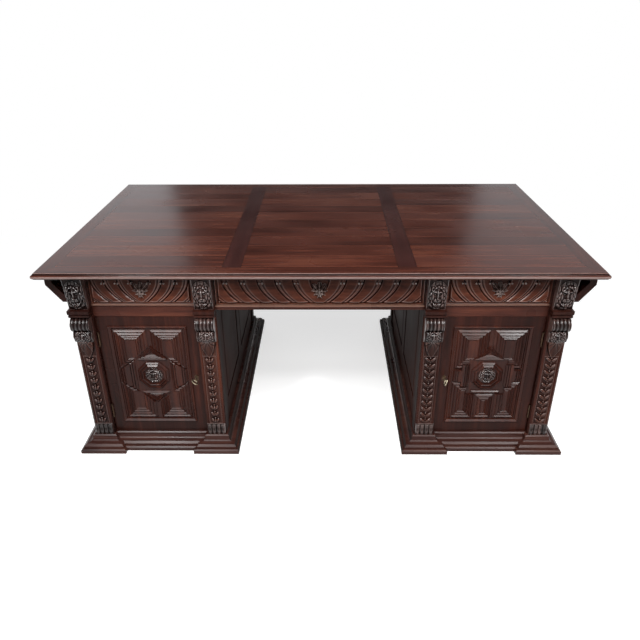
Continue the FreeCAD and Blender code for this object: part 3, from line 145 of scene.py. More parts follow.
def makeBoardGroup():
    # each board has its own tone, and its own grain by a jump in place
    look = Values(panelPitch=0.6, panelSeed=17.3, jump=(3.0, 0.7, 0.4), middle=0.5)
    tree, given = newGroup("gluedBoards", {"Place": "Vector", "Board Width": 0.1,
        "Joint Width": 0.0012}, {"Board Tone": "Float", "Joint": "Float", "Shifted": "Vector"})
    apart = addNode(tree, "ShaderNodeSeparateXYZ", {0: given["Place"]})
    count = maths(tree, "DIVIDE", apart.outputs["Y"], given["Board Width"])
    panel = maths(tree, "ROUND", maths(tree, "DIVIDE", apart.outputs["X"], look.panelPitch))
    seed = maths(tree, "MULTIPLY_ADD", panel, look.panelSeed, maths(tree, "FLOOR", count))
    chance = addNode(tree, "ShaderNodeTexWhiteNoise", {"W": seed}, noise_dimensions="1D")
    away = maths(tree, "ABSOLUTE", maths(tree, "SUBTRACT", maths(tree, "FRACT", count), look.middle))
    near = maths(tree, "MULTIPLY", maths(tree, "SUBTRACT", look.middle, away), given["Board Width"])
    shifted = addNode(tree, "ShaderNodeVectorMath", {0: chance.outputs["Color"], 1: look.jump,
        2: given["Place"]}, operation="MULTIPLY_ADD")
    joint = maths(tree, "LESS_THAN", near, given["Joint Width"])
    addNode(tree, "NodeGroupOutput", {"Board Tone": chance, "Joint": joint, "Shifted": shifted})
    return tree


def makeKneeholeGroup():
    # a mask of sideways faces near the middle, for the kneehole's roughness and painted shade
    tree, given = newGroup("kneeholeSides", {"Place": "Vector", "Half Width": 0.38}, {"Mask": "Float"})
    normal = addNode(tree, "ShaderNodeNewGeometry").outputs["Normal"]
    sideways, away = (maths(tree, "ABSOLUTE", addNode(tree, "ShaderNodeSeparateXYZ", {0: vector}))
        for vector in (normal, given["Place"]))
    steep = 0.6
    facing = maths(tree, "GREATER_THAN", sideways, steep)
    near = maths(tree, "LESS_THAN", away, given["Half Width"])
    addNode(tree, "NodeGroupOutput", {"Mask": maths(tree, "MULTIPLY", facing, near)})
    return tree


def makeCrestShadeGroup():
    tree, given = newGroup("crestShadeAndPolish", {"Hollow": 0.47, "Crest": 0.54}, {"Rise": "Float"})
    # pointiness tells hollows from crests: hollows get painted shade, crests a painted highlight, and
    # crests also get polish
    pointiness = addNode(tree, "ShaderNodeNewGeometry").outputs["Pointiness"]
    rise = spread(tree, pointiness, 0.0, 1.0, given["Hollow"], given["Crest"])
    addNode(tree, "NodeGroupOutput", {"Rise": rise})
    return tree


def makeJointGroup():
    tree, given = newGroup("thinJoints", {"Place": "Vector", "Frame X": 0.9, "Frame Y": 0.5,
        "Rail Inside": 0.3, "Rail Outside": 0.36, "Mitre": 0.4, "Half Width": 0.0011},
        {"Line": "Float"})
    apart = addNode(tree, "ShaderNodeSeparateXYZ", {0: given["Place"]})
    x, y = (maths(tree, "ABSOLUTE", apart.outputs[axis]) for axis in "XY")
    corner = maths(tree, "SUBTRACT", x, y)
    line = None
    for value, label in ((x, "Frame X"), (y, "Frame Y"), (x, "Rail Inside"), (x, "Rail Outside"),
            (corner, "Mitre")):
        near = maths(tree, "COMPARE", value, given[label], given["Half Width"])
        line = maths(tree, "MAXIMUM", line, near) if line else near
    addNode(tree, "NodeGroupOutput", {"Line": line})
    return tree


streakyGrain = makeGrainGroup()
gluedBoards = makeBoardGroup()
crestShadeAndPolish = makeCrestShadeGroup()
thinJoints = makeJointGroup()
kneeholeSides = makeKneeholeGroup()
railBox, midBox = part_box("top_rail_front"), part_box("top_panel_centre")
nowhere = 9.0  # off the desk, for a joint that a piece lacks
joints = {"Frame X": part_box("top_panel_right")[1][0], "Frame Y": midBox[1][1],
    "Rail Inside": midBox[1][0], "Rail Outside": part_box("top_cross_rails")[1][0],
    "Mitre": railBox[1][0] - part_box("top_rail_right")[1][1]}

# bands of height, middle and half: the cove gets painted shade, and the other three get painted
# highlights
topAt = railBox[1][2]
coveShade = (topAt - 0.0042, 0.0022)
nosingHighlight = (topAt - 0.0146, 0.0038)
# the arris band is a painted highlight too
arris = (topAt - 0.0007, 0.0004)
railBeadHighlight = (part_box("side_drawer_rails")[1][2] - 0.0025, 0.0022)


# Woods and metals. Tones of wood are given in thousandths.

alongX, alongY, alongZ = (3.0, 55.0, 55.0), (55.0, 3.0, 55.0), (55.0, 55.0, 3.0)
topWood = Values(rough=(0.17, 0.3), pores=0.45, gloss=0.12)
frameWood = Values(topWood, dark=(20, 5.6, 3.6), mid=(52, 14, 8.5), light=(88, 28, 16),
    worn=[nosingHighlight, arris], highlightTone=(270, 190, 172))
woods = {
    "topPanelWood": Values(topWood, dark=(20, 5.6, 3.6), mid=(60, 16, 9.5), light=(110, 34, 18),
        grain=alongX, boards=True, joints=("Frame X", "Frame Y", "Rail Inside", "Rail Outside")),
    "topFrameWood": Values(frameWood, grain=alongX, joints=("Frame Y", "Mitre")),
    "topEndWood": Values(frameWood, grain=alongY, joints=("Frame X", "Mitre")),
    "crossRailWood": Values(topWood, dark=(18, 5.5, 4.5), mid=(34, 10, 8), light=(55, 17, 12),
        grain=alongY, joints=("Frame Y", "Rail Inside", "Rail Outside")),
    "uprightWood": Values(dark=(7, 2.4, 1.8), mid=(20, 5.4, 3.6), light=(46, 12.2, 7.2), grain=alongZ,
        rough=(0.24, 0.38), pores=0.5, kneehole=True),
    "sideWood": Values(dark=(7, 2.6, 2), mid=(18, 6.5, 5), light=(40, 13, 8.5), grain=alongZ,
        rough=(0.45, 0.6), pores=0.5, gloss=0.01),
    "railWood": Values(dark=(16, 5, 3.8), mid=(50, 15, 10), light=(100, 31, 18), grain=alongX,
        rough=(0.22, 0.36), pores=0.5, worn=[railBeadHighlight], highlightTone=(130, 70, 50)),
    "plinthWood": Values(dark=(14, 5, 4.2), mid=(36, 12.5, 9.5), light=(70, 26, 17), grain=alongX,
        rough=(0.22, 0.36), pores=0.4, gloss=0.15, kneehole=True),
    "panelWood": Values(dark=(10, 3.4, 2.6), mid=(27, 6.8, 4.2), light=(72, 19, 10), grain=alongZ,
        rough=(0.2, 0.32), pores=0.3, gloss=0.15),
    "gadroonWood": Values(dark=(12, 4, 3), mid=(56, 16.8, 10), light=(130, 40, 21), grain=alongX,
        rough=(0.2, 0.34), pores=0.3, wear=(0.45, 0.55), gloss=0.08, polish=0.7),
    "huskWood": Values(dark=(5, 2, 1.6), mid=(27, 9, 6.4), light=(66, 25, 16.5), grain=alongZ,
        rough=(0.22, 0.36), pores=0.3, wear=(0.45, 0.55), gloss=0.08, polish=0.35),
    "lionWood": Values(dark=(2, 1, 0.9), mid=(10, 4.2, 3.4), light=(75, 42, 36), grain=alongZ,
        rough=(0.24, 0.34), pores=0.2, wear=(0.42, 0.565), gloss=0.08, polish=1.0),
    # the pulls' crests are painted very pale, a painted highlight for their glints
    "glintPaintedMaskWood": Values(dark=(8, 5.6, 5.2), mid=(45, 26, 21), light=(200, 145, 130), grain=alongZ,
        rough=(0.22, 0.3), pores=0.1, wear=(0.42, 0.56), gloss=0.08, polish=1.0),
    "pilasterWood": Values(dark=(12, 3.8, 3), mid=(38, 10.8, 7), light=(86, 26, 15), grain=alongZ,
        rough=(0.26, 0.38), pores=0.4, gloss=0.08),
    # the beads are painted near white, a painted highlight for their glints
    "glintPaintedBeadWood": Values(dark=(160, 120, 110), mid=(340, 280, 260), light=(550, 480, 450), grain=alongZ,
        rough=(0.2, 0.28), pores=0.0, gloss=0.5),
    "boxWood": Values(dark=(140, 80, 42), mid=(240, 145, 80), light=(330, 210, 120), grain=alongY,
        rough=(0.5, 0.7), pores=0.4),
    "innerWood": Values(dark=(70, 36, 20), mid=(130, 70, 40), light=(190, 110, 62), grain=alongX,
        rough=(0.5, 0.7), pores=0.4),
}
# what all woods share: places on the ramp, shares of layers, tones and shares of painted shade and
# painted highlights, and the polish of crests
woodLook = Values(darkAt=0.3, midAt=0.52, lightAt=0.72, streak=0.62, patch=0.38, boardShift=0.07,
    hollow=-0.26, crest=0.24, pitTone=0.35, glueTone=1.5, glue=0.45, dirt=(0.004, 0.0022, 0.0018),
    dirty=0.8, rubbing=0.75, patchFrom=0.3, patchTo=0.7, age=(0.007, 0.0036, 0.003), aged=0.8,
    bump=0.12, bumpDepth=0.0006, gloss=0.1, shineFrom=0.56, coatRough=0.28, coatIor=2.2)


def heightBand(tree, place, middle, half):
    height = addNode(tree, "ShaderNodeSeparateXYZ", {0: place}).outputs["Z"]
    return maths(tree, "COMPARE", height, middle, half)


def makeWood(name, look):
    k = woodLook
    dark, mid, light, highlightTone = ([level / 1000 for level in look.get(key, ())]
        for key in ("dark", "mid", "light", "highlightTone"))
    material, tree, shader, place = newMaterial(name)
    start = place
    if look.get("boards"):
        boards = addNode(tree, "ShaderNodeGroup", {"Place": place}, node_tree=gluedBoards)
        start = boards.outputs["Shifted"]
    grain = addNode(tree, "ShaderNodeGroup", {"Place": start, "Stretch": look.grain},
        node_tree=streakyGrain)
    streak, pores, patch = grain.outputs
    value = maths(tree, "MULTIPLY_ADD", patch, k.patch, maths(tree, "MULTIPLY", streak, k.streak))
    if look.get("boards"):
        shift = spread(tree, boards.outputs["Board Tone"], -k.boardShift, k.boardShift)
        value = maths(tree, "ADD", shift, value)
    if look.get("wear"):
        hollow, crest = look.wear
        wear = addNode(tree, "ShaderNodeGroup", {"Hollow": hollow, "Crest": crest},
            node_tree=crestShadeAndPolish)
        # painted shade darkens the hollows and a painted highlight lightens the crests
        value = maths(tree, "ADD", spread(tree, wear, k.hollow, k.crest), value)
    ramp = colourRamp(tree, value, (k.darkAt, dark), (k.midAt, mid), (k.lightAt, light))
    pits = maths(tree, "MULTIPLY", pores, look.pores)
    colour = mixOver(tree, ramp, [tone * k.pitTone for tone in dark], pits)
    if look.get("boards"):
        glue = maths(tree, "MULTIPLY", boards.outputs["Joint"], k.glue)
        colour = mixOver(tree, colour, [tone * k.glueTone for tone in light], glue)
    if look.get("joints"):
        places = {label: value if label in look.joints else nowhere for label, value in joints.items()}
        lines = addNode(tree, "ShaderNodeGroup", {"Place": place, **places}, node_tree=thinJoints)
        # the thin joints are dark as they are, and the cove band gets painted shade in the same dark
        # tone
        mask = maths(tree, "MAXIMUM", lines, heightBand(tree, place, *coveShade))
        colour = mixOver(tree, colour, k.dirt, maths(tree, "MULTIPLY", mask, k.dirty))
    # painted highlights: these height bands are lightened towards a pale tone
    if look.get("worn"):
        mask = 0.0
        for band in look.worn:
            mask = maths(tree, "MAXIMUM", heightBand(tree, place, *band), mask)
        colour = mixOver(tree, colour, highlightTone, maths(tree, "MULTIPLY", mask, k.rubbing))
    rough = spread(tree, patch, *look.rough, k.patchFrom, k.patchTo)
    if look.get("kneehole"):
        # these sides are unpolished and rougher, and their colour gets painted shade
        sides = addNode(tree, "ShaderNodeGroup", {"Place": place}, node_tree=kneeholeSides)
        aged = maths(tree, "MULTIPLY", sides, k.aged)
        rough = maths(tree, "MAXIMUM", aged, rough)
        colour = mixOver(tree, colour, k.age, aged)
    bump = addNode(tree, "ShaderNodeBump", {"Strength": k.bump, "Distance": k.bumpDepth,
        "Height": streak})
    feed(tree, shader, {"Base Color": colour, "Roughness": rough, "Normal": bump,
        "Specular IOR Level": look.get("gloss", k.gloss)})
    if look.get("wear"):
        # only the rubbed crests shine
        feed(tree, shader, {"Coat Weight": spread(tree, wear, 0.0, look.polish, k.shineFrom),
            "Coat Roughness": k.coatRough, "Coat IOR": k.coatIor})
    return material


cloudy = Values(dullAt=0.35, brightAt=0.6)
metals = {
    "keyBrass": Values(bright=(0.6, 0.53, 0.38), dull=(0.26, 0.21, 0.14), rough=(0.24, 0.5)),
    "darkBronze": Values(bright=(0.085, 0.055, 0.035), dull=(0.03, 0.018, 0.013), rough=(0.3, 0.55)),
}


def makeMetal(name, look):
    material, tree, shader, place = newMaterial(name)
    cloud = noise(tree, place, scale=180, detail=4)
    ramp = colourRamp(tree, cloud, (cloudy.dullAt, look.dull), (cloudy.brightAt, look.bright))
    feed(tree, shader, {"Base Color": ramp,
        "Roughness": spread(tree, cloud, look.rough[1], look.rough[0]), "Metallic": 1.0})
    return material


paint = {name: makeWood(name, look) for name, look in woods.items()}
paint.update({name: makeMetal(name, look) for name, look in metals.items()})
print("materials", len(paint))


# Finishes of the nodes that stay as they are, by how their names end

finishes = {
    "topFrameWood": ("top_rail_front", "top_rail_back"),
    "topEndWood": ("top_rail_left", "top_rail_right"),
    "topPanelWood": ("top_panel_left", "top_panel_centre", "top_panel_right"),
    "crossRailWood": ("top_cross_rails",),
    "uprightWood": ("corner_posts_inner", "corner_posts_outer", "side_frames_outer", "cupboard_floors",
        "end_friezes", "_door_frame"),
    "sideWood": ("side_frames_inner",),
    "railWood": ("side_drawer_rails", "centre_drawer_rails"),
    "plinthWood": ("plinth_left", "plinth_right"),
    "innerWood": ("partitions", "dust_boards", "drawer_guides", "centre_drawer_runners",
        "cupboard_shelves", "shelf_cleats"),
    "boxWood": ("_drawer_box",),
    "darkBronze": ("post_hinges", "_door_fittings"),
    "keyBrass": ("_lock_bolt", "_key"),
}
for node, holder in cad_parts.items():
    for name, endings in finishes.items():
        if node.endswith(endings):
            holder.data.materials.clear()
            holder.data.materials.append(paint[name])
print("finished nodes", len(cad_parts))


# Mesh helpers. A shape is its points and faces, in millimetres about its own middle, facing -Y.

def smoothed(mesh, sharp):
    mesh.shade_smooth()
    mesh.set_sharp_from_angle(angle=math.radians(sharp))


def meshObject(name, shape, finish, sharp=38):
    points, faces = shape
    mesh = bpy.data.meshes.new(name)
    places = (np.asarray(points, float) * mm).tolist()
    mesh.from_pydata(places, [], [list(map(int, face)) for face in faces])
    mesh.materials.append(paint[finish])
    smoothed(mesh, sharp)
    piece = bpy.data.objects.new(name, mesh)
    stage.objects.link(piece)
    return piece


def gridFaces(rows, columns, closed=False):
    faces = []
    for row in range(rows - 1):
        for column in range(columns if closed else columns - 1):
            after = (column + 1) % columns
            low, high = row * columns, (row + 1) * columns
            faces.append((low + column, low + after, high + after, high + column))
    return faces


def closeToBack(points, faces, ring, back):
    start, count = len(points), len(ring)
    behind = np.array(points)[ring]
    behind[:, 1] = back
    for index in range(count):
        after = (index + 1) % count
        faces.append((ring[index], start + index, start + after, ring[after]))
    faces.append(tuple(start + index for index in reversed(range(count))))
    return np.vstack([points, behind]), faces


def closedSheet(grid, back):
    rows, columns = grid.shape[:2]
    corner = np.arange(rows * columns).reshape(rows, columns)
    ring = [*corner[0, :-1], *corner[:-1, -1], *corner[-1, :0:-1], *corner[:0:-1, 0]]
    return closeToBack(grid.reshape(-1, 3), gridFaces(rows, columns), ring, back)


def reliefSheet(width, low, high, step, heightAt, back):
    columns = max(2, round(width / step)) + 1
    rows = max(2, round((high - low) / step)) + 1
    x, z = np.meshgrid(np.linspace(-width / 2, width / 2, columns), np.linspace(low, high, rows))
    return closedSheet(np.stack([x, -heightAt(x, z), z], -1), back)


def reliefDisc(reachAt, heightAt, spokes, rings, back):
    turn = np.linspace(0, 2 * math.pi, spokes, endpoint=False)
    radius = np.linspace(1 / rings, 1, rings)[:, None] * reachAt(turn)[None, :]
    x, z = (np.append(radius * wave(turn), 0.0) for wave in (np.cos, np.sin))
    points = np.stack([x, -heightAt(x, z), z], -1)
    faces = [face[::-1] for face in gridFaces(rings, spokes, closed=True)]
    centre = rings * spokes
    faces += [(centre, index, (index + 1) % spokes) for index in range(spokes)]
    return closeToBack(points, faces, list(range(centre - spokes, centre)), back)


def dome(x, z, cx, cz, rx, rz, rise):
    return rise * np.sqrt(np.clip(1 - ((x - cx) / rx) ** 2 - ((z - cz) / rz) ** 2, 0, None))


def swell(x, z, cx, cz, rx, rz, rise):
    return rise * np.exp(-(((x - cx) / rx) ** 2 + ((z - cz) / rz) ** 2))


def sumOf(forms, x, z):
    # forms on both sides of the middle: a dome or a swell, its place, half sizes and rise
    side = np.abs(x)
    return sum(form(side, z, *place) for form, *place in forms.values())


def bell(value, middle, half):
    return np.exp(-((value - middle) / half) ** 2)


def insetOutline(points, amount):
    corners = np.array(points, float)
    before = corners - np.roll(corners, 1, 0)
    after = np.roll(corners, -1, 0) - corners
    before /= np.linalg.norm(before, axis=1)[:, None]
    after /= np.linalg.norm(after, axis=1)[:, None]
    bisector = np.stack([-(before + after)[:, 1], (before + after)[:, 0]], 1)
    bisector /= np.linalg.norm(bisector, axis=1)[:, None]
    stretch = 1 / np.sqrt((1 + (before * after).sum(1)) / 2)
    return corners + bisector * (amount * stretch)[:, None]


def mitredField(outline, profile, back):
    # rings of a closed outline, each moved in and raised as the profile says
    count = len(outline)
    rings = []
    for inset, rise in profile:
        ring = insetOutline(outline, inset)
        rings.append(np.stack([ring[:, 0], np.full(count, -rise), ring[:, 1]], 1))
    last = (len(profile) - 1) * count
    faces = gridFaces(len(profile), count, closed=True) + [tuple(range(last, last + count))]
    return closeToBack(np.vstack(rings), faces, list(range(count)), back)


def rectangle(left, low, right, high):
    return [(left, low), (right, low), (right, high), (left, high)]


def shifted(shape, x=0, y=0, z=0):
    points, faces = shape
    return points + np.array([x, y, z], float), faces


def flipped(shape, x=False, z=False):
    points, faces = shape
    points = points * np.array([-1 if x else 1, 1, -1 if z else 1])
    return points, ([face[::-1] for face in faces] if x != z else faces)


def joined(*shapes):
    points, faces = [], []
    for shapePoints, shapeFaces in shapes:
        start = sum(len(part) for part in points)
        points.append(shapePoints)
        faces += [tuple(start + index for index in face) for face in shapeFaces]
    return np.vstack(points), faces


def meshShape(mesh):
    points = np.array([vertex.co for vertex in mesh.vertices]) / mm
    return points, [tuple(polygon.vertices) for polygon in mesh.polygons]


def bakedMesh(piece):
    graph = bpy.context.evaluated_depsgraph_get()
    graph.update()
    return bpy.data.meshes.new_from_object(piece.evaluated_get(graph))


def subtract(shape, cutter):
    main, tool = meshObject("main", shape, "panelWood"), meshObject("tool", cutter, "panelWood")
    cut = main.modifiers.new("cut", "BOOLEAN")
    cut.operation, cut.solver, cut.object = "DIFFERENCE", "EXACT", tool
    result = meshShape(bakedMesh(main))
    for item in (main, tool):
        bpy.data.objects.remove(item)
    return result


def finishPiece(piece, body, slot, *nodes):
    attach(piece, body)
    if nodes:
        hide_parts(*nodes)


def finishAt(piece, x, half, body, slot, *nodes):
    # the piece first moves along the desk, or to the back turned half round
    turn = Matrix.Rotation(math.pi, 4, "Z") if half else Matrix.Identity(4)
    piece.data.transform(Matrix.Translation((x * mm, 0, 0)) @ turn)
    finishPiece(piece, body, slot, *nodes)


# Geometry Nodes: a copy at each post, and a row of copies

def closeTree(tree, given, places):
    source = addNode(tree, "GeometryNodeObjectInfo", {"Object": given["Piece"]})
    copies = addNode(tree, "GeometryNodeInstanceOnPoints", {"Instance": source.outputs["Geometry"],
        **places})
    real = addNode(tree, "GeometryNodeRealizeInstances", {0: copies})
    made = addNode(tree, "GeometryNodeSetMaterial", {"Geometry": real, "Material": given["Finish"]})
    addNode(tree, "NodeGroupOutput", {0: made})
    return tree


def makePostTree():
    tree, given = newGroup("standAtPosts", {"Places": "Geometry", "Piece": "Object",
        "Back Turn": math.pi, "Finish": "Material"}, {"Pieces": "Geometry"}, "GeometryNodeTree")
    apart = addNode(tree, "ShaderNodeSeparateXYZ", {0: addNode(tree, "GeometryNodeInputPosition")})
    behind = addNode(tree, "FunctionNodeCompare", {0: apart.outputs["Y"]}, operation="GREATER_THAN")
    turn = maths(tree, "MULTIPLY", behind, given["Back Turn"])
    spin = addNode(tree, "ShaderNodeCombineXYZ", {"Z": turn})
    return closeTree(tree, given, {"Points": given["Places"], "Rotation": spin})


def makeRowTree():
    tree, given = newGroup("rowOfCopies", {"Piece": "Object", "Count": 5, "Start": "Vector",
        "Pitch": "Vector", "Finish": "Material"}, {"Row": "Geometry"}, "GeometryNodeTree")
    line = addNode(tree, "GeometryNodeMeshLine", {"Count": given["Count"],
        "Start Location": given["Start"], "Offset": given["Pitch"]}, mode="OFFSET")
    return closeTree(tree, given, {"Points": line})


def runTree(host, tree, values, sharp):
    nodes = host.modifiers.new(tree.name, "NODES")
    nodes.node_group = tree
    sockets = {item.name: item.identifier for item in tree.interface.items_tree}
    for label, value in values.items():
        nodes[sockets[label]] = value
    mesh = bakedMesh(host)
    host.modifiers.clear()
    host.data = mesh
    smoothed(mesh, sharp)
    return host


standAtPosts = makePostTree()
rowOfCopies = makeRowTree()
postHalf = 38
postXs = [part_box("corner_posts_" + part)[1][0] / mm - postHalf for part in ("inner", "outer")]
postFace = 507


def atPosts(name, shape, finish, slot, *nodes, sharp=38, sides=(1, -1)):
    # a piece kept to one pedestal at the front is on the other one at the back
    xs = [side * x for side in sides for x in postXs]
    points = [(x, -postFace, 0) for x in xs] + [(-x, postFace, 0) for x in xs]
    source = meshObject(name + "Unit", shape, finish)
    host = runTree(meshObject(name, (points, []), finish), standAtPosts,
        {"Piece": source, "Finish": paint[finish]}, sharp)
    bpy.data.objects.remove(source)
    finishPiece(host, "desk", slot, *nodes)


def rowOf(name, source, finish, count, start, pitch, sharp=50):
    host = meshObject(name, ([(0, 0, 0)], []), finish)
    return runTree(host, rowOfCopies, {"Piece": source, "Count": count,
        "Start": [v * mm for v in start], "Pitch": [v * mm for v in pitch], "Finish": paint[finish]},
        sharp)


# Lion heads. One face serves the corbels, masks and bosses; its half width is 1 and it looks along -Y.

lionForms = dict(head=(dome, 0, 0.02, 0.8, 1.02, 0.52), brows=(swell, 0.3, 0.43, 0.22, 0.09, 0.26),
    forehead=(swell, 0, 0.62, 0.16, 0.22, 0.156), sockets=(swell, 0.31, 0.22, 0.15, 0.12, -0.52),
    eyes=(dome, 0.3, 0.2, 0.11, 0.08, 0.22), nose=(dome, 0, -0.17, 0.2, 0.13, 0.34),
    nostrils=(swell, 0.11, -0.25, 0.05, 0.045, -0.22), muzzle=(dome, 0.2, -0.38, 0.27, 0.2, 0.34),
    lip=(swell, 0, -0.38, 0.035, 0.15, -0.22), mouth=(swell, 0, -0.61, 0.34, 0.05, -0.46),
    cheeks=(swell, 0.56, -0.1, 0.15, 0.26, 0.2), ears=(dome, 0.62, 0.7, 0.22, 0.24, 0.42),
    earHollows=(swell, 0.62, 0.68, 0.09, 0.12, -0.336))
lionLook = Values(bridge=0.3, bridgeHalf=0.13, bridgeLow=-0.3, bridgeHigh=0.6, bridgeFade=0.2,
    beard=(0, -0.84, 0.3, 0.28, 0.4), strands=30, strandDepth=0.28, flatten=0.92, mane=0.42,
    maneFrom=0.7, maneFade=0.1, maneRound=0.5, locks=13, lockRound=0.6, curl=0.84, curlHalf=0.2,
    curlTwist=2.0, tuft=1.1, tuftHalf=0.22, tuftTwist=-1.5, tuftShare=0.8)


def lionFace(x, z):
    k = lionLook
    radius = np.hypot(x, z * k.flatten)
    turn = np.arctan2(z, np.abs(x)) * k.locks / 2
    ends = [np.clip(reach / k.bridgeFade, 0, 1) for reach in (z - k.bridgeLow, k.bridgeHigh - z)]
    rise = sumOf(lionForms, x, z) + k.bridge * bell(x, 0, k.bridgeHalf) * ends[0] * ends[1]
    strands = 1 - k.strandDepth + k.strandDepth * np.cos(x * k.strands)
    rise = rise + dome(x, z, *k.beard) * strands
    away = np.clip((radius - k.maneFrom) / k.maneFade, 0, 1)
    inner = np.abs(np.cos(turn + k.curlTwist * radius)) ** k.lockRound
    outer = np.abs(np.sin(turn + k.tuftTwist * radius)) ** k.lockRound
    ring = np.clip(1 - np.abs(radius - k.curl) / k.curlHalf, 0, 1) ** k.maneRound * inner
    rim = np.clip(1 - np.abs(radius - k.tuft) / k.tuftHalf, 0, 1) ** k.maneRound * outer
    return rise + away * np.maximum(ring, k.tuftShare * rim) * k.mane


def makeCorbels():
    size = Values(width=66, low=611, high=744, faceAt=669, halfWidth=29, stretch=1.45,
        depth=21, footReach=8, headReach=27, lean=1.3, edge=33, edgeFade=0.12, edgeLeast=0.2,
        step=1, capHeight=7, capReach=36, most=48, hollow=-0.1, back=7)

    def front(x, z):
        share = np.clip((z - size.low) / (size.high - size.low), 0, 1)
        lean = size.footReach + (size.headReach - size.footReach) * share ** size.lean
        face = lionFace(x / size.halfWidth, (z - size.faceAt) / size.halfWidth / size.stretch)
        fade = np.clip((1 - np.abs(x) / size.edge) / size.edgeFade, size.edgeLeast, 1)
        body = lean + size.depth * np.clip(face, size.hollow, None) * fade
        cap = z > size.high - size.capHeight
        return np.where(cap, size.capReach, np.minimum(body, size.most))

    shape = reliefSheet(size.width, size.low, size.high, size.step, front, size.back)
    atPosts("lionCorbels", shape, "lionWood", "carved_wood", "lion_corbels", sharp=60)


# Scroll consoles: a banded block, a fluted scroll and a leaf with a small mask under it

def makeConsoles():
    size = Values(half=33, low=482, leafTall=44, footOut=12, leafOut=11, leafBow=0.86,
        leafRound=0.8, leafSteps=44, wheelMid=553, wheelRadius=27, wheelOut=6, wheelFrom=-70,
        wheelTo=88, wheelSteps=48, columns=66, flutes=5, fluteDepth=2.2, rim=4, maskAt=24,
        maskHalf=21, maskTall=22 / 1.05, maskRise=9, maskClip=(-0.1, 1.2), fanAt=14, ribs=18,
        ribRise=1.6, ribFrom=0.45, edgeFrom=0.72, edgeDrop=5, blockHalf=38, blockLow=580,
        blockReach=24, taper=0.35, back=7, bands=[(14, 0), (17, 2), (20, 5), (20, 12), (17.5, 13.5),
        (21, 16), (23.2, 19), (23.2, 26), (24, 27), (24, 31)])
    half, low, back = size.half, size.low, size.back
    path = []
    for share in np.linspace(0, 1, size.leafSteps):
        bow = math.sin(math.pi * min(1, share * size.leafBow)) ** size.leafRound
        path.append((size.footOut + size.leafOut * bow, low + size.leafTall * share, 0))
    for turn in np.linspace(size.wheelFrom, size.wheelTo, size.wheelSteps):
        angle = math.radians(turn)
        path.append((size.wheelOut + size.wheelRadius * math.cos(angle),
            size.wheelMid + size.wheelRadius * math.sin(angle), 1))
    out, height, zone = (np.array(values)[:, None] for values in zip(*path))
    x = np.tile(np.linspace(-half, half, size.columns + 1), (len(path), 1))
    side = np.abs(x) / half
    slopeOut, slopeUp = np.gradient(out, axis=0), np.gradient(height, axis=0)
    length = np.hypot(slopeOut, slopeUp)
    flute = 0.5 - 0.5 * np.cos(2 * math.pi * size.flutes * (x / half / 2 + 0.5))
    groove = size.fluteDepth * (1 - flute) * np.clip((1 - side) * half / size.rim, 0, 1) * zone
    face = lionFace(x / size.maskHalf, (height - low - size.maskAt) / size.maskTall)
    mask = size.maskRise * np.clip(face, *size.maskClip)
    ribs = size.ribRise * np.cos(np.arctan2(x, height - low + size.fanAt) * size.ribs)
    edge = size.edgeDrop * np.clip(side - size.edgeFrom, 0, 1)
    leaf = mask + ribs * np.clip(side - size.ribFrom, 0, 1) - edge
    push = np.where(zone == 0, leaf, 0) - groove
    scroll = closedSheet(np.stack([x, -(out + push * slopeUp / length),
        height - push * slopeOut / length], -1), back)
    atPosts("scrollConsoles", scroll, "lionWood", "carved_wood", "scroll_consoles", sharp=40)
    points = []
    for reach, rise in size.bands:
        wide, z = size.blockHalf - (size.blockReach - reach) * size.taper, size.blockLow + rise
        points += [(-wide, back, z), (-wide, -reach, z), (wide, -reach, z), (wide, back, z)]
    faces = gridFaces(len(size.bands), 4, closed=True)
    faces += [(3, 2, 1, 0), tuple(range(len(points) - 4, len(points)))]
    atPosts("bandedBlocks", (points, faces), "uprightWood", "carved_wood", sharp=30)


# Pilasters: a chamfered board with a sunk field, a leaf at its head and a chain of husks or bells below

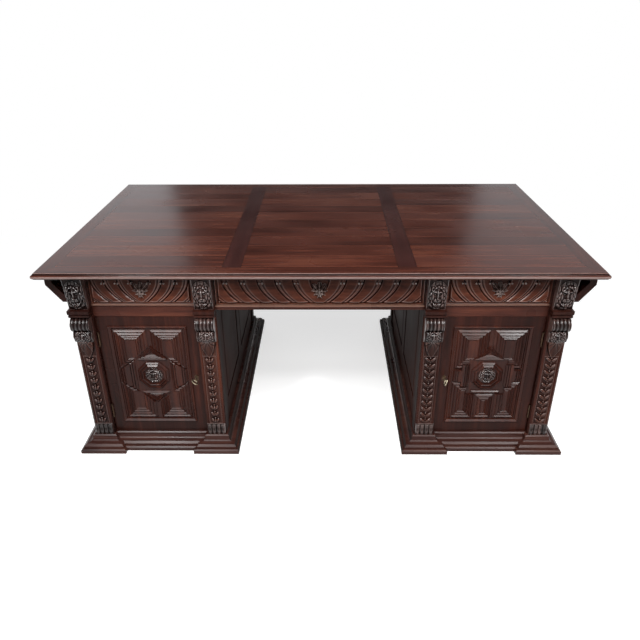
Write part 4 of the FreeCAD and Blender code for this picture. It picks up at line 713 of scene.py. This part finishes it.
def makePilasters():
    size = Values(half=35, thick=7, low=61, high=580, chamfer=4.2,
        chamferDrop=3.78, arris=0.3, round=0.8, rim=7.4, slope=1.2, sunk=3.4, lift=0.05,
        leafLow=414, leafHigh=482, leafHalf=27, leafTurn=(0.06, 0.5), leafRound=0.8, leafFade=2.5,
        leafRise=16, leafFoot=3, leafBow=1.35, leafStep=1.2, ribs=12, ribRise=2.6, ribAt=6,
        ribRound=0.7, curl=4.5, chainLow=112, chainHalf=24, step=1)
    # a unit of a chain: leaves or petals that spread from a stem, with a bead
    units = {
        "huskPilasters": Values(count=11, side=1, lean=52, x=9.5, z=1.5, tall=14.5, wide=6.2, rise=8.6,
            skew=0.05, vein=1.8, veinHalf=0.9, veinFrom=1.5, stem=(0, -8, 4, 7.5, 6),
            bead=(0, 7.5, 3.4, 4.2, 5.6)),
        "bellPilasters": Values(count=10, side=-1, lean=34, x=7.2, z=-1, tall=11.8, wide=5.6,
            rise=8.6, skew=0, vein=0, veinHalf=0.9, veinFrom=1.5, stem=(0, -2.5, 3.9, 10, 9),
            bead=(0, 11.5, 3.8, 3.4, 7.6)),
    }
    leafLow, leafHigh = size.leafLow, size.leafHigh
    chainLow, ground = size.chainLow, size.lift - size.sunk

    def leaf(x, z):
        share = np.clip((z - leafLow) / (leafHigh - leafLow), 0, 1)
        turn = np.interp(share, (0, 1), size.leafTurn)
        half = size.leafHalf * np.sin(math.pi * turn) ** size.leafRound
        inside = np.clip((half - np.abs(x)) / size.leafFade, 0, 1) * (share > 0)
        rib = np.abs(np.cos(np.arctan2(x, leafHigh + size.ribAt - z) * size.ribs / 2)) ** size.ribRound
        curl = size.curl * (np.abs(x) / size.leafHalf) ** 2 * share
        body = size.leafFoot + size.leafRise * share ** size.leafBow + size.ribRise * rib - curl
        return inside * body + ground

    def unitAt(x, z, unit):
        sine, cosine = math.sin(math.radians(unit.lean)), math.cos(math.radians(unit.lean))
        across, up = np.abs(x) - unit.x, z - unit.z
        along, across = across * sine + up * cosine, across * cosine - up * sine
        wide = (across + unit.skew * along) / unit.wide
        blade = unit.rise * np.sqrt(np.clip(1 - (along / unit.tall) ** 2 - wide ** 2, 0, None))
        blade = blade - unit.vein * bell(across, 0, unit.veinHalf) * (blade > unit.veinFrom)
        return np.maximum.reduce([blade, dome(x, z, *unit.stem), dome(x, z, *unit.bead)]) + ground

    leafSheet = reliefSheet(2 * size.leafHalf, leafLow, leafHigh, size.leafStep, leaf, 1 + size.sunk)
    for name, unit in units.items():
        pitch = (leafLow - chainLow) / unit.count
        chain = reliefSheet(2 * size.chainHalf, chainLow, leafLow, size.step,
            lambda x, z: unitAt(x, (z - chainLow) % pitch - pitch / 2, unit), 1 + size.sunk)
        atPosts(name, joined(leafSheet, chain), "huskWood", "carcase_wood", "pilasters", sharp=32,
            sides=(unit.side,))
    profile = [(0, -size.chamferDrop), (size.chamfer, -size.arris), (size.chamfer + size.round, 0),
        (size.rim, 0), (size.rim + size.slope, -size.sunk)]
    board = mitredField(rectangle(-size.half, size.low, size.half, size.high), profile, size.thick)
    atPosts("pilasterBoards", board, "pilasterWood", "carcase_wood", "pilasters", sharp=32)


# Lion paws: four toes with claws on a low ankle

def makePaws():
    size = Values(width=68, low=61, high=111, toes=4, toeWide=2.12, reach=7.6, step=1.1,
        least=0.6, most=8, base=1, joint=0.52, knuckle=(0.26, 0.2), knuckleRise=0.4,
        ankle=(0.74, 0.16), ankleRise=0.22, claw=(0.1, 0.06), clawRise=0.14, clawWide=0.2,
        tip=(0.05, 0.3), top=(0.1, 0.25), back=7)

    def front(x, z):
        away = (x * size.toes / size.width + size.toes / 2) % 1 - 0.5
        share = (z - size.low) / (size.high - size.low)
        toe = np.sqrt(np.clip(1 - (away * size.toeWide) ** 2, 0, 1))
        ankle = size.ankleRise * bell(share, *size.ankle)
        knuckles = size.joint + size.knuckleRise * bell(share, *size.knuckle) + ankle
        tip, top = (np.clip(end / fade, least, 1)
            for end, (fade, least) in ((share, size.tip), (1 - share, size.top)))
        claw = size.clawRise * bell(away, 0, size.clawWide) * bell(share, *size.claw)
        return np.clip(size.base + size.reach * (toe * knuckles * tip * top + claw), size.least,
            size.most)

    shape = reliefSheet(size.width, size.low, size.high, size.step, front, size.back)
    atPosts("lionPaws", shape, "lionWood", "carved_wood", "lion_paws", sharp=60)


# Drawer faces: a board with sweeping gadroons, a row of beads and a foliate pull

drawerSpots = {"front_left": (-627, False), "front_centre": (0, False), "front_right": (627, False),
    "back_left": (-627, True), "back_centre": (0, True), "back_right": (627, True)}


def makeDrawerFaces():
    size = Values(setback=487, thick=17, high=742.5, ground=2, rise=11, lift=0.02, first=33,
        sweep=58, bend=2.3, lobe=2.06, grooveAt=0.72, grooveHalf=0.07, groove=0.3, border=10,
        sideBorder=0.9, lowBorder=0.7, borderFade=4, firstFade=5, step=1.5, beadRadius=3.3,
        beadSpread=1.03, beadRise=3.4, beadReach=9.6, beadSpokes=8, beadRings=3, beadGap=10.5,
        beadDrop=39.5)
    kinds = {False: Values(half=181.5, low=621.5, pitch=47, beads=3, firstBead=33),
        True: Values(half=366.5, low=619.5, pitch=62, beads=5, firstBead=80)}
    high, border, radius = size.high, size.border, size.beadRadius

    def carving(x, z, kind):
        low = kind.low
        share = np.clip((z - low - border) / (high - low - 2 * border), 0, 1)
        line = np.abs(x) + size.sweep * (1 - share) ** size.bend - size.first
        part = (line / kind.pitch) % 1
        lobe = np.sqrt(np.clip(1 - ((part - 0.5) * size.lobe) ** 2, 0, 1))
        lobe = np.clip(lobe - size.groove * bell(part, size.grooveAt, size.grooveHalf) * lobe, 0, 1)
        inside = np.minimum.reduce([kind.half - np.abs(x) - border * size.sideBorder,
            z - low - border * size.lowBorder, high - z - border])
        fade = np.clip(inside / size.borderFade, 0, 1) * np.clip(line / size.firstFade, 0, 1)
        return fade * (size.ground + (size.rise - size.ground) * lobe) + size.lift

    def beadFront(x, z):
        reach = radius * size.beadSpread
        return dome(x, z, 0, 0, reach, reach, size.beadRise) + size.beadReach

    bead = reliefDisc(lambda turn: np.full(turn.shape, radius), beadFront, size.beadSpokes,
        size.beadRings, back=-0.5)
    for spot, (x, half) in drawerSpots.items():
        kind = kinds["centre" in spot]
        shape = reliefSheet(2 * kind.half, kind.low, high, size.step,
            lambda x, z: carving(x, z, kind), size.thick)
        face = meshObject(spot + "_gadroons", shifted(shape, y=-size.setback), "gadroonWood", sharp=70)
        source = meshObject("bead", bead, "glintPaintedBeadWood")
        rows = []
        for sign in (-1, 1):
            for twin in (-0.5, 0.5):
                across = sign * (kind.firstBead + twin * size.beadGap)
                start, pitch = (across, -size.setback, high - size.beadDrop), (sign * kind.pitch, 0, 0)
                rows.append(rowOf("beads", source, "glintPaintedBeadWood", kind.beads, start, pitch))
        beads = meshObject(spot + "_beads", joined(*[meshShape(row.data) for row in rows]), "glintPaintedBeadWood")
        for item in (source, *rows):
            bpy.data.objects.remove(item)
        finishAt(face, x, half, spot + "_drawer", "carcase_wood", spot + "_drawer_face")
        finishAt(beads, x, half, spot + "_drawer", "carcase_wood")
        makePull(spot, x, half, (kind.low + high) / 2, size.setback)


def makePull(spot, x, half, middle, setback):
    size = Values(reach=36, rise=16, drop=11, leaves=9, lobeDepth=0.36, waist=(0.75, 0.35),
        waistDepth=0.26, lobeRound=0.7, leaf=0.66, rib=0.65, ribRound=1.5, bow=(0.18, 0.8),
        bowRound=0.8, vein=0.22, veinHalf=0.02, veinFrom=0.3, least=0.06, most=1.12, spokes=144,
        rings=18)
    forms = dict(mask=(dome, 0, -2, 14, 17, 0.45), nose=(dome, 0, -2, 3.4, 10, 0.42),
        brows=(swell, 7, 6, 5, 2.4, 0.3), eyes=(swell, 6.5, 1.5, 3.2, 2.6, -0.34),
        cheeks=(dome, 7, -6, 5, 6, 0.24), mouth=(swell, 0, -12, 6, 1.6, -0.3),
        chin=(dome, 0, -17, 5, 6, 0.3))
    depth = size.lobeDepth

    def ribAt(turn):
        return np.abs(np.cos((turn - math.pi / 2) * size.leaves / 2))

    def reach(turn):
        fromFoot = np.abs(np.angle(np.exp(1j * (turn + math.pi / 2))))
        fan = 1 - size.waistDepth * bell(fromFoot, *size.waist)
        return size.reach * fan * (1 - depth + depth * ribAt(turn) ** size.lobeRound)

    def front(px, pz):
        turn = np.arctan2(pz, px)
        share, rib = np.hypot(px, pz) / reach(turn), ribAt(turn)
        bow = np.sin(math.pi * np.clip(size.bow[0] + size.bow[1] * share, 0, 1)) ** size.bowRound
        leaf = (1 - size.rib + size.rib * rib ** size.ribRound) * bow
        vein = size.vein * np.exp(-((1 - rib) / size.veinHalf)) * (share > size.veinFrom)
        relief = size.leaf * leaf + vein + sumOf(forms, px, pz)
        return size.rise * np.clip(relief, size.least, size.most)

    shape = reliefDisc(reach, front, size.spokes, size.rings, back=0.2)
    pull = meshObject(spot + "_pull", shifted(shape, y=-setback, z=middle - size.drop), "glintPaintedMaskWood",
        sharp=50)
    finishAt(pull, x, half, spot + "_drawer", "carved_wood")


# Door panels: a ground with a raised border, mitred fields and an octagon with a lion's head

doorSpots = {"front_right": (626.75, False, True), "front_left": (-626.75, False, False),
    "back_left": (-626.75, True, True), "back_right": (626.75, True, False)}


def makeDoorPanels():
    size = Values(middle=319.5, ground=483, thick=11, half=139.25, tall=207, fieldHalf=127,
        fieldTall=195, gap=8, cornerLow=30, legHalf=34, legGap=5, legTop=-84, legReeds=30,
        flank=66, deepReeds=43, octagon=58, borderInset=-5, back=2, cutFront=-30, cutBack=10,
        bar=(-54, -80, 54, -66), lowArrow=[(-56, 70), (56, 70), (0, 124)], peak=[(-58, 70), (58, 70),
        (0, 126)])
    back, inner, high = size.back, size.fieldHalf, size.fieldTall
    # each profile runs inwards: how far in from the edge, how high
    reeds = [(0, 0), (0.2, 1.4), (1, 2.2), (7.4, 7.2), (8.6, 7.4), (12.4, 3), (13.6, 3.2),
        (19.4, 7.8), (20.6, 8), (24.6, 3), (25.6, 3.2), (29.4, 6.2), (30.4, 6.4), (33.8, 2.4),
        (34.8, 2.6), (37.8, 5), (38.8, 5.2), (44.6, 0.8), (47, 1)]
    strips = [(0, 0), (0.2, 2), (1, 3), (5.6, 7.2), (6.8, 7.2), (7.4, 2.4), (9.6, 2.4),
        (10.4, 6.4), (13, 8.6), (15.6, 8), (16.2, 3), (18.4, 3), (19.2, 7), (22.5, 9),
        (25, 8.6)]
    arrowReeds = [(0, 0), (0.2, 2.4), (1, 3), (7, 7.6), (8, 7.6), (9.6, 3.4), (10.6, 3.4),
        (13.6, 6), (14.4, 6), (15.4, 3.4), (19, 6)]
    peakReeds = [(0, 0), (0.2, 5), (0.9, 6.6), (1.4, 6.6), (5, 4), (5.8, 4), (6.6, 6.4),
        (7.2, 6.4), (10.6, 3.8), (11.2, 3.8), (11.8, 6), (12.4, 6), (19, 1)]
    barReeds = [(0, 0), (0.2, 2.4), (1, 3), (4.8, 7)]
    octagonReeds = [(0, 0), (0, 3), (0.8, 4), (6, 8.4), (7.2, 8.4), (9.4, 4), (10.8, 4),
        (17, 9.4), (18.6, 9.6), (20, 8), (22, 3), (23.5, 1)]
    borderReeds = [(0, 4.05), (0.6, 7), (2.4, 9.4), (3.8, 10.2), (5, 10), (11.4, 4.8),
        (12.2, 4.6), (13.2, 1.6), (14, 0.05)]
    # outlines of what the octagon, the arrows and the stepped cross take out of the fields
    slant = [(-140, 10), (5, 10), (5, 136), (-8, 124), (-60, 76), (-127, 30), (-140, 21)]
    stairs = [(-140, 10), (5, 10), (5, 132), (-8, 120), (-56, 72), (-72, 72), (-72, 52), (-98, 52),
        (-98, 30), (-140, 30)]
    lowStairs = [(-140, 10), (5, 10), (5, 84), (-72, 84), (-72, 52), (-98, 52), (-98, 30), (-140, 30)]
    slantFlank = [(-140, 15), (-127, 24), (-66, 66), (-50, 77), (-50, 90), (-140, 90)]
    stairFlank = [(-140, 24), (-96, 24), (-96, 48), (-50, 48), (-50, 90), (-140, 90)]
    corner = rectangle(-inner, size.cornerLow, -size.gap, high)
    lowCorner = rectangle(-inner, size.cornerLow, -size.legHalf - size.legGap, high)

    def cutter(outline):
        return mitredField(outline, [(0, -size.cutFront)], size.cutBack)

    def upTo(profile, most):
        return [step for step in profile if step[0] < most]

    flank = mitredField(rectangle(-inner, -size.flank, -size.flank, size.flank), strips, back)
    lowArrow = flipped(mitredField(size.lowArrow, arrowReeds, back), z=True)
    peak = mitredField(size.peak, peakReeds, back)
    bar = mitredField(rectangle(*size.bar), barReeds, back)
    leg = mitredField(rectangle(-size.legHalf, -high, size.legHalf, size.legTop),
        upTo(reeds, size.legReeds), back)
    radius = size.octagon / math.cos(math.pi / 8)
    turns = [math.radians(22.5 + 45 * index) for index in range(8)]
    octagon = mitredField([(radius * math.cos(turn), radius * math.sin(turn)) for turn in turns],
        octagonReeds, back)
    opening = rectangle(-size.half, -size.tall, size.half, size.tall)
    border = mitredField(insetOutline(opening, size.borderInset), borderReeds, back)
    ground = mitredField(opening, [(0, 0)], size.thick)
    for spot, (x, half, stepped) in doorSpots.items():
        tool = cutter(stairFlank if stepped else slantFlank)
        side = subtract(subtract(flank, tool), flipped(tool, z=True))
        highCorner = subtract(mitredField(corner, reeds, back), cutter(stairs if stepped else slant))
        deepCorner = highCorner
        if stepped:
            deepCorner = subtract(mitredField(lowCorner, upTo(reeds, size.deepReeds), back),
                cutter(lowStairs))
        fields = [ground, border, octagon, peak, side, flipped(side, x=True), highCorner,
            flipped(highCorner, x=True), flipped(deepCorner, z=True),
            flipped(deepCorner, x=True, z=True)]
        fields += [bar, leg] if stepped else [lowArrow]
        shape = shifted(joined(*fields), y=-size.ground, z=size.middle)
        panel = meshObject(spot + "_fields", shape, "panelWood", sharp=16)
        finishAt(panel, x, half, spot + "_door", "carcase_wood", spot + "_door_panel")
        makeBoss(spot, x, half, size)


def makeBoss(spot, x, half, door):
    size = Values(reach=31, base=1.5, rise=15, most=1.25, faceHalf=27, scallop=0.06, scallops=9,
        edge=1.04, edgeFade=0.14, edgeLeast=0.1, seat=0.6, spokes=132, rings=34, back=-0.5)

    def reach(turn):
        return size.reach * (1 - size.scallop + size.scallop * np.abs(np.cos(turn * size.scallops)))

    def front(px, pz):
        share = np.hypot(px, pz) / size.reach
        face = np.clip(lionFace(px / size.faceHalf, pz / size.faceHalf), 0, size.most)
        fade = np.clip((size.edge - share) / size.edgeFade, size.edgeLeast, 1)
        return size.base + size.rise * face * fade

    shape = shifted(reliefDisc(reach, front, size.spokes, size.rings, size.back),
        y=-door.ground - size.seat, z=door.middle)
    boss = meshObject(spot + "_boss", shape, "lionWood", sharp=60)
    finishAt(boss, x, half, spot + "_door", "carved_wood")


makeCorbels()
makeConsoles()
makePilasters()
makePaws()
print("carved uprights")
makeDrawerFaces()
print("drawer faces")
makeDoorPanels()
print("door panels")


# Camera, floor and studio light

def makeCamera():
    view = Values(place=(0.024, -2.423, 1.567), down=27.58, turn=0.68, roll=-0.29, focal=609,
        frameWidth=640)
    data = bpy.data.cameras.new("deskCamera")
    data.sensor_width = 36.0
    data.lens = view.focal / view.frameWidth * data.sensor_width
    data.clip_end = 200
    camera = bpy.data.objects.new("deskCamera", data)
    stage.objects.link(camera)
    turn, tilt, roll = (Matrix.Rotation(math.radians(angle), 4, axis)
        for angle, axis in ((view.turn, "Z"), (90 - view.down, "X"), (view.roll, "Z")))
    camera.matrix_world = Matrix.Translation(view.place) @ turn @ tilt @ roll
    bpy.context.scene.camera = camera


def raysSeen(tree):
    # 1 for what the camera, a gloss or a clear body sees
    rays = addNode(tree, "ShaderNodeLightPath").outputs
    sharp = maths(tree, "MAXIMUM", rays["Is Glossy Ray"], rays["Is Transmission Ray"])
    return maths(tree, "MAXIMUM", sharp, rays["Is Camera Ray"])


def makeFloor():
    look = Values(half=40.0, colour=(0.58, 0.58, 0.58, 1), rough=0.9, lift=0.62,
        stretch=(0.8, 1.0, 0.0), nearEdge=1.3, farEdge=2.8)
    mesh = bpy.data.meshes.new("floor")
    half = look.half
    mesh.from_pydata([(x, y, 0) for x, y in rectangle(-half, -half, half, half)], [], [(0, 1, 2, 3)])
    floor = bpy.data.objects.new("floor", mesh)
    stage.objects.link(floor)
    material, tree, shader, place = newMaterial("paleFloor")
    # the floor is lit and shadowed near the desk and turns plain white further out
    flat = addNode(tree, "ShaderNodeVectorMath", {0: place, 1: look.stretch}, operation="MULTIPLY")
    away = addNode(tree, "ShaderNodeVectorMath", {0: flat}, operation="LENGTH").outputs["Value"]
    far = spread(tree, away, 0.0, 1.0, look.nearEdge, look.farEdge, interpolation_type="SMOOTHSTEP")
    glow = maths(tree, "MULTIPLY", spread(tree, far, look.lift, 1.0), raysSeen(tree))
    feed(tree, shader, {"Base Color": mixOver(tree, look.colour, (0, 0, 0), far),
        "Roughness": look.rough, "Specular IOR Level": 0.0, "Emission Color": (1, 1, 1, 1),
        "Emission Strength": glow})
    mesh.materials.append(material)


def makeWorld():
    look = Values(room=(0.05, 0.05, 0.055, 1), backdrop=(1, 1, 1), wallTop=(0.13, 0.19))
    world = bpy.data.worlds.new("studio")
    bpy.context.scene.world = world
    world.use_nodes = True
    tree = world.node_tree
    tree.nodes.clear()
    # a white backdrop stands round the desk, under a dim room
    direction = addNode(tree, "ShaderNodeTexCoord").outputs["Generated"]
    height = addNode(tree, "ShaderNodeSeparateXYZ", {0: direction}).outputs["Z"]
    wall = maths(tree, "MULTIPLY", spread(tree, height, 1.0, 0.0, *look.wallTop), raysSeen(tree))
    white = maths(tree, "MAXIMUM", wall, addNode(tree, "ShaderNodeLightPath").outputs["Is Camera Ray"])
    colour = mixOver(tree, look.room, look.backdrop, white)
    back = addNode(tree, "ShaderNodeBackground", {"Color": colour})
    addNode(tree, "ShaderNodeOutputWorld", {"Surface": back})


def makeLamp(name, place, aim, width, height, watts, colour=(1, 1, 1)):
    data = bpy.data.lights.new(name, "AREA")
    data.shape = "RECTANGLE"
    data.size, data.size_y, data.energy, data.color = width, height, watts, colour
    lamp = bpy.data.objects.new(name, data)
    stage.objects.link(lamp)
    lamp.location = place
    lamp.rotation_mode = "QUATERNION"
    lamp.rotation_quaternion = (Vector(aim) - Vector(place)).to_track_quat("-Z", "Y")


lamps = [
    dict(name="overheadLamp", place=(0, -2.0, 3.1), aim=(0, -0.2, 0.5), width=3.0, height=0.9,
        watts=95),
    dict(name="frontLamp", place=(0, -3.7, 2.9), aim=(0, -0.5, 0.35), width=4.4, height=0.8, watts=80),
    dict(name="leftSpark", place=(-1.6, -2.6, 3.0), aim=(-0.3, -0.5, 0.5), width=0.35, height=0.35,
        watts=66),
    dict(name="rightSpark", place=(1.7, -2.4, 2.8), aim=(0.3, -0.5, 0.5), width=0.3, height=0.3,
        watts=50),
    dict(name="backLamp", place=(0, 3.4, 0.42), aim=(0, 0.5, 0.42), width=3.0, height=0.6, watts=34),
    dict(name="leftWindow", place=(-2.9, 3.4, 1.9), aim=(-0.4, 0, 0.7), width=3.0, height=2.2, watts=26,
        colour=(0.92, 0.96, 1.0)),
    dict(name="rightWindow", place=(2.9, 3.4, 1.9), aim=(0.4, 0, 0.7), width=3.0, height=2.2, watts=18,
        colour=(0.92, 0.96, 1.0)),
]
makeCamera()
makeFloor()
makeWorld()
for lamp in lamps:
    makeLamp(**lamp)
bpy.context.scene.view_settings.view_transform = "Standard"
print("camera, floor and lamps")
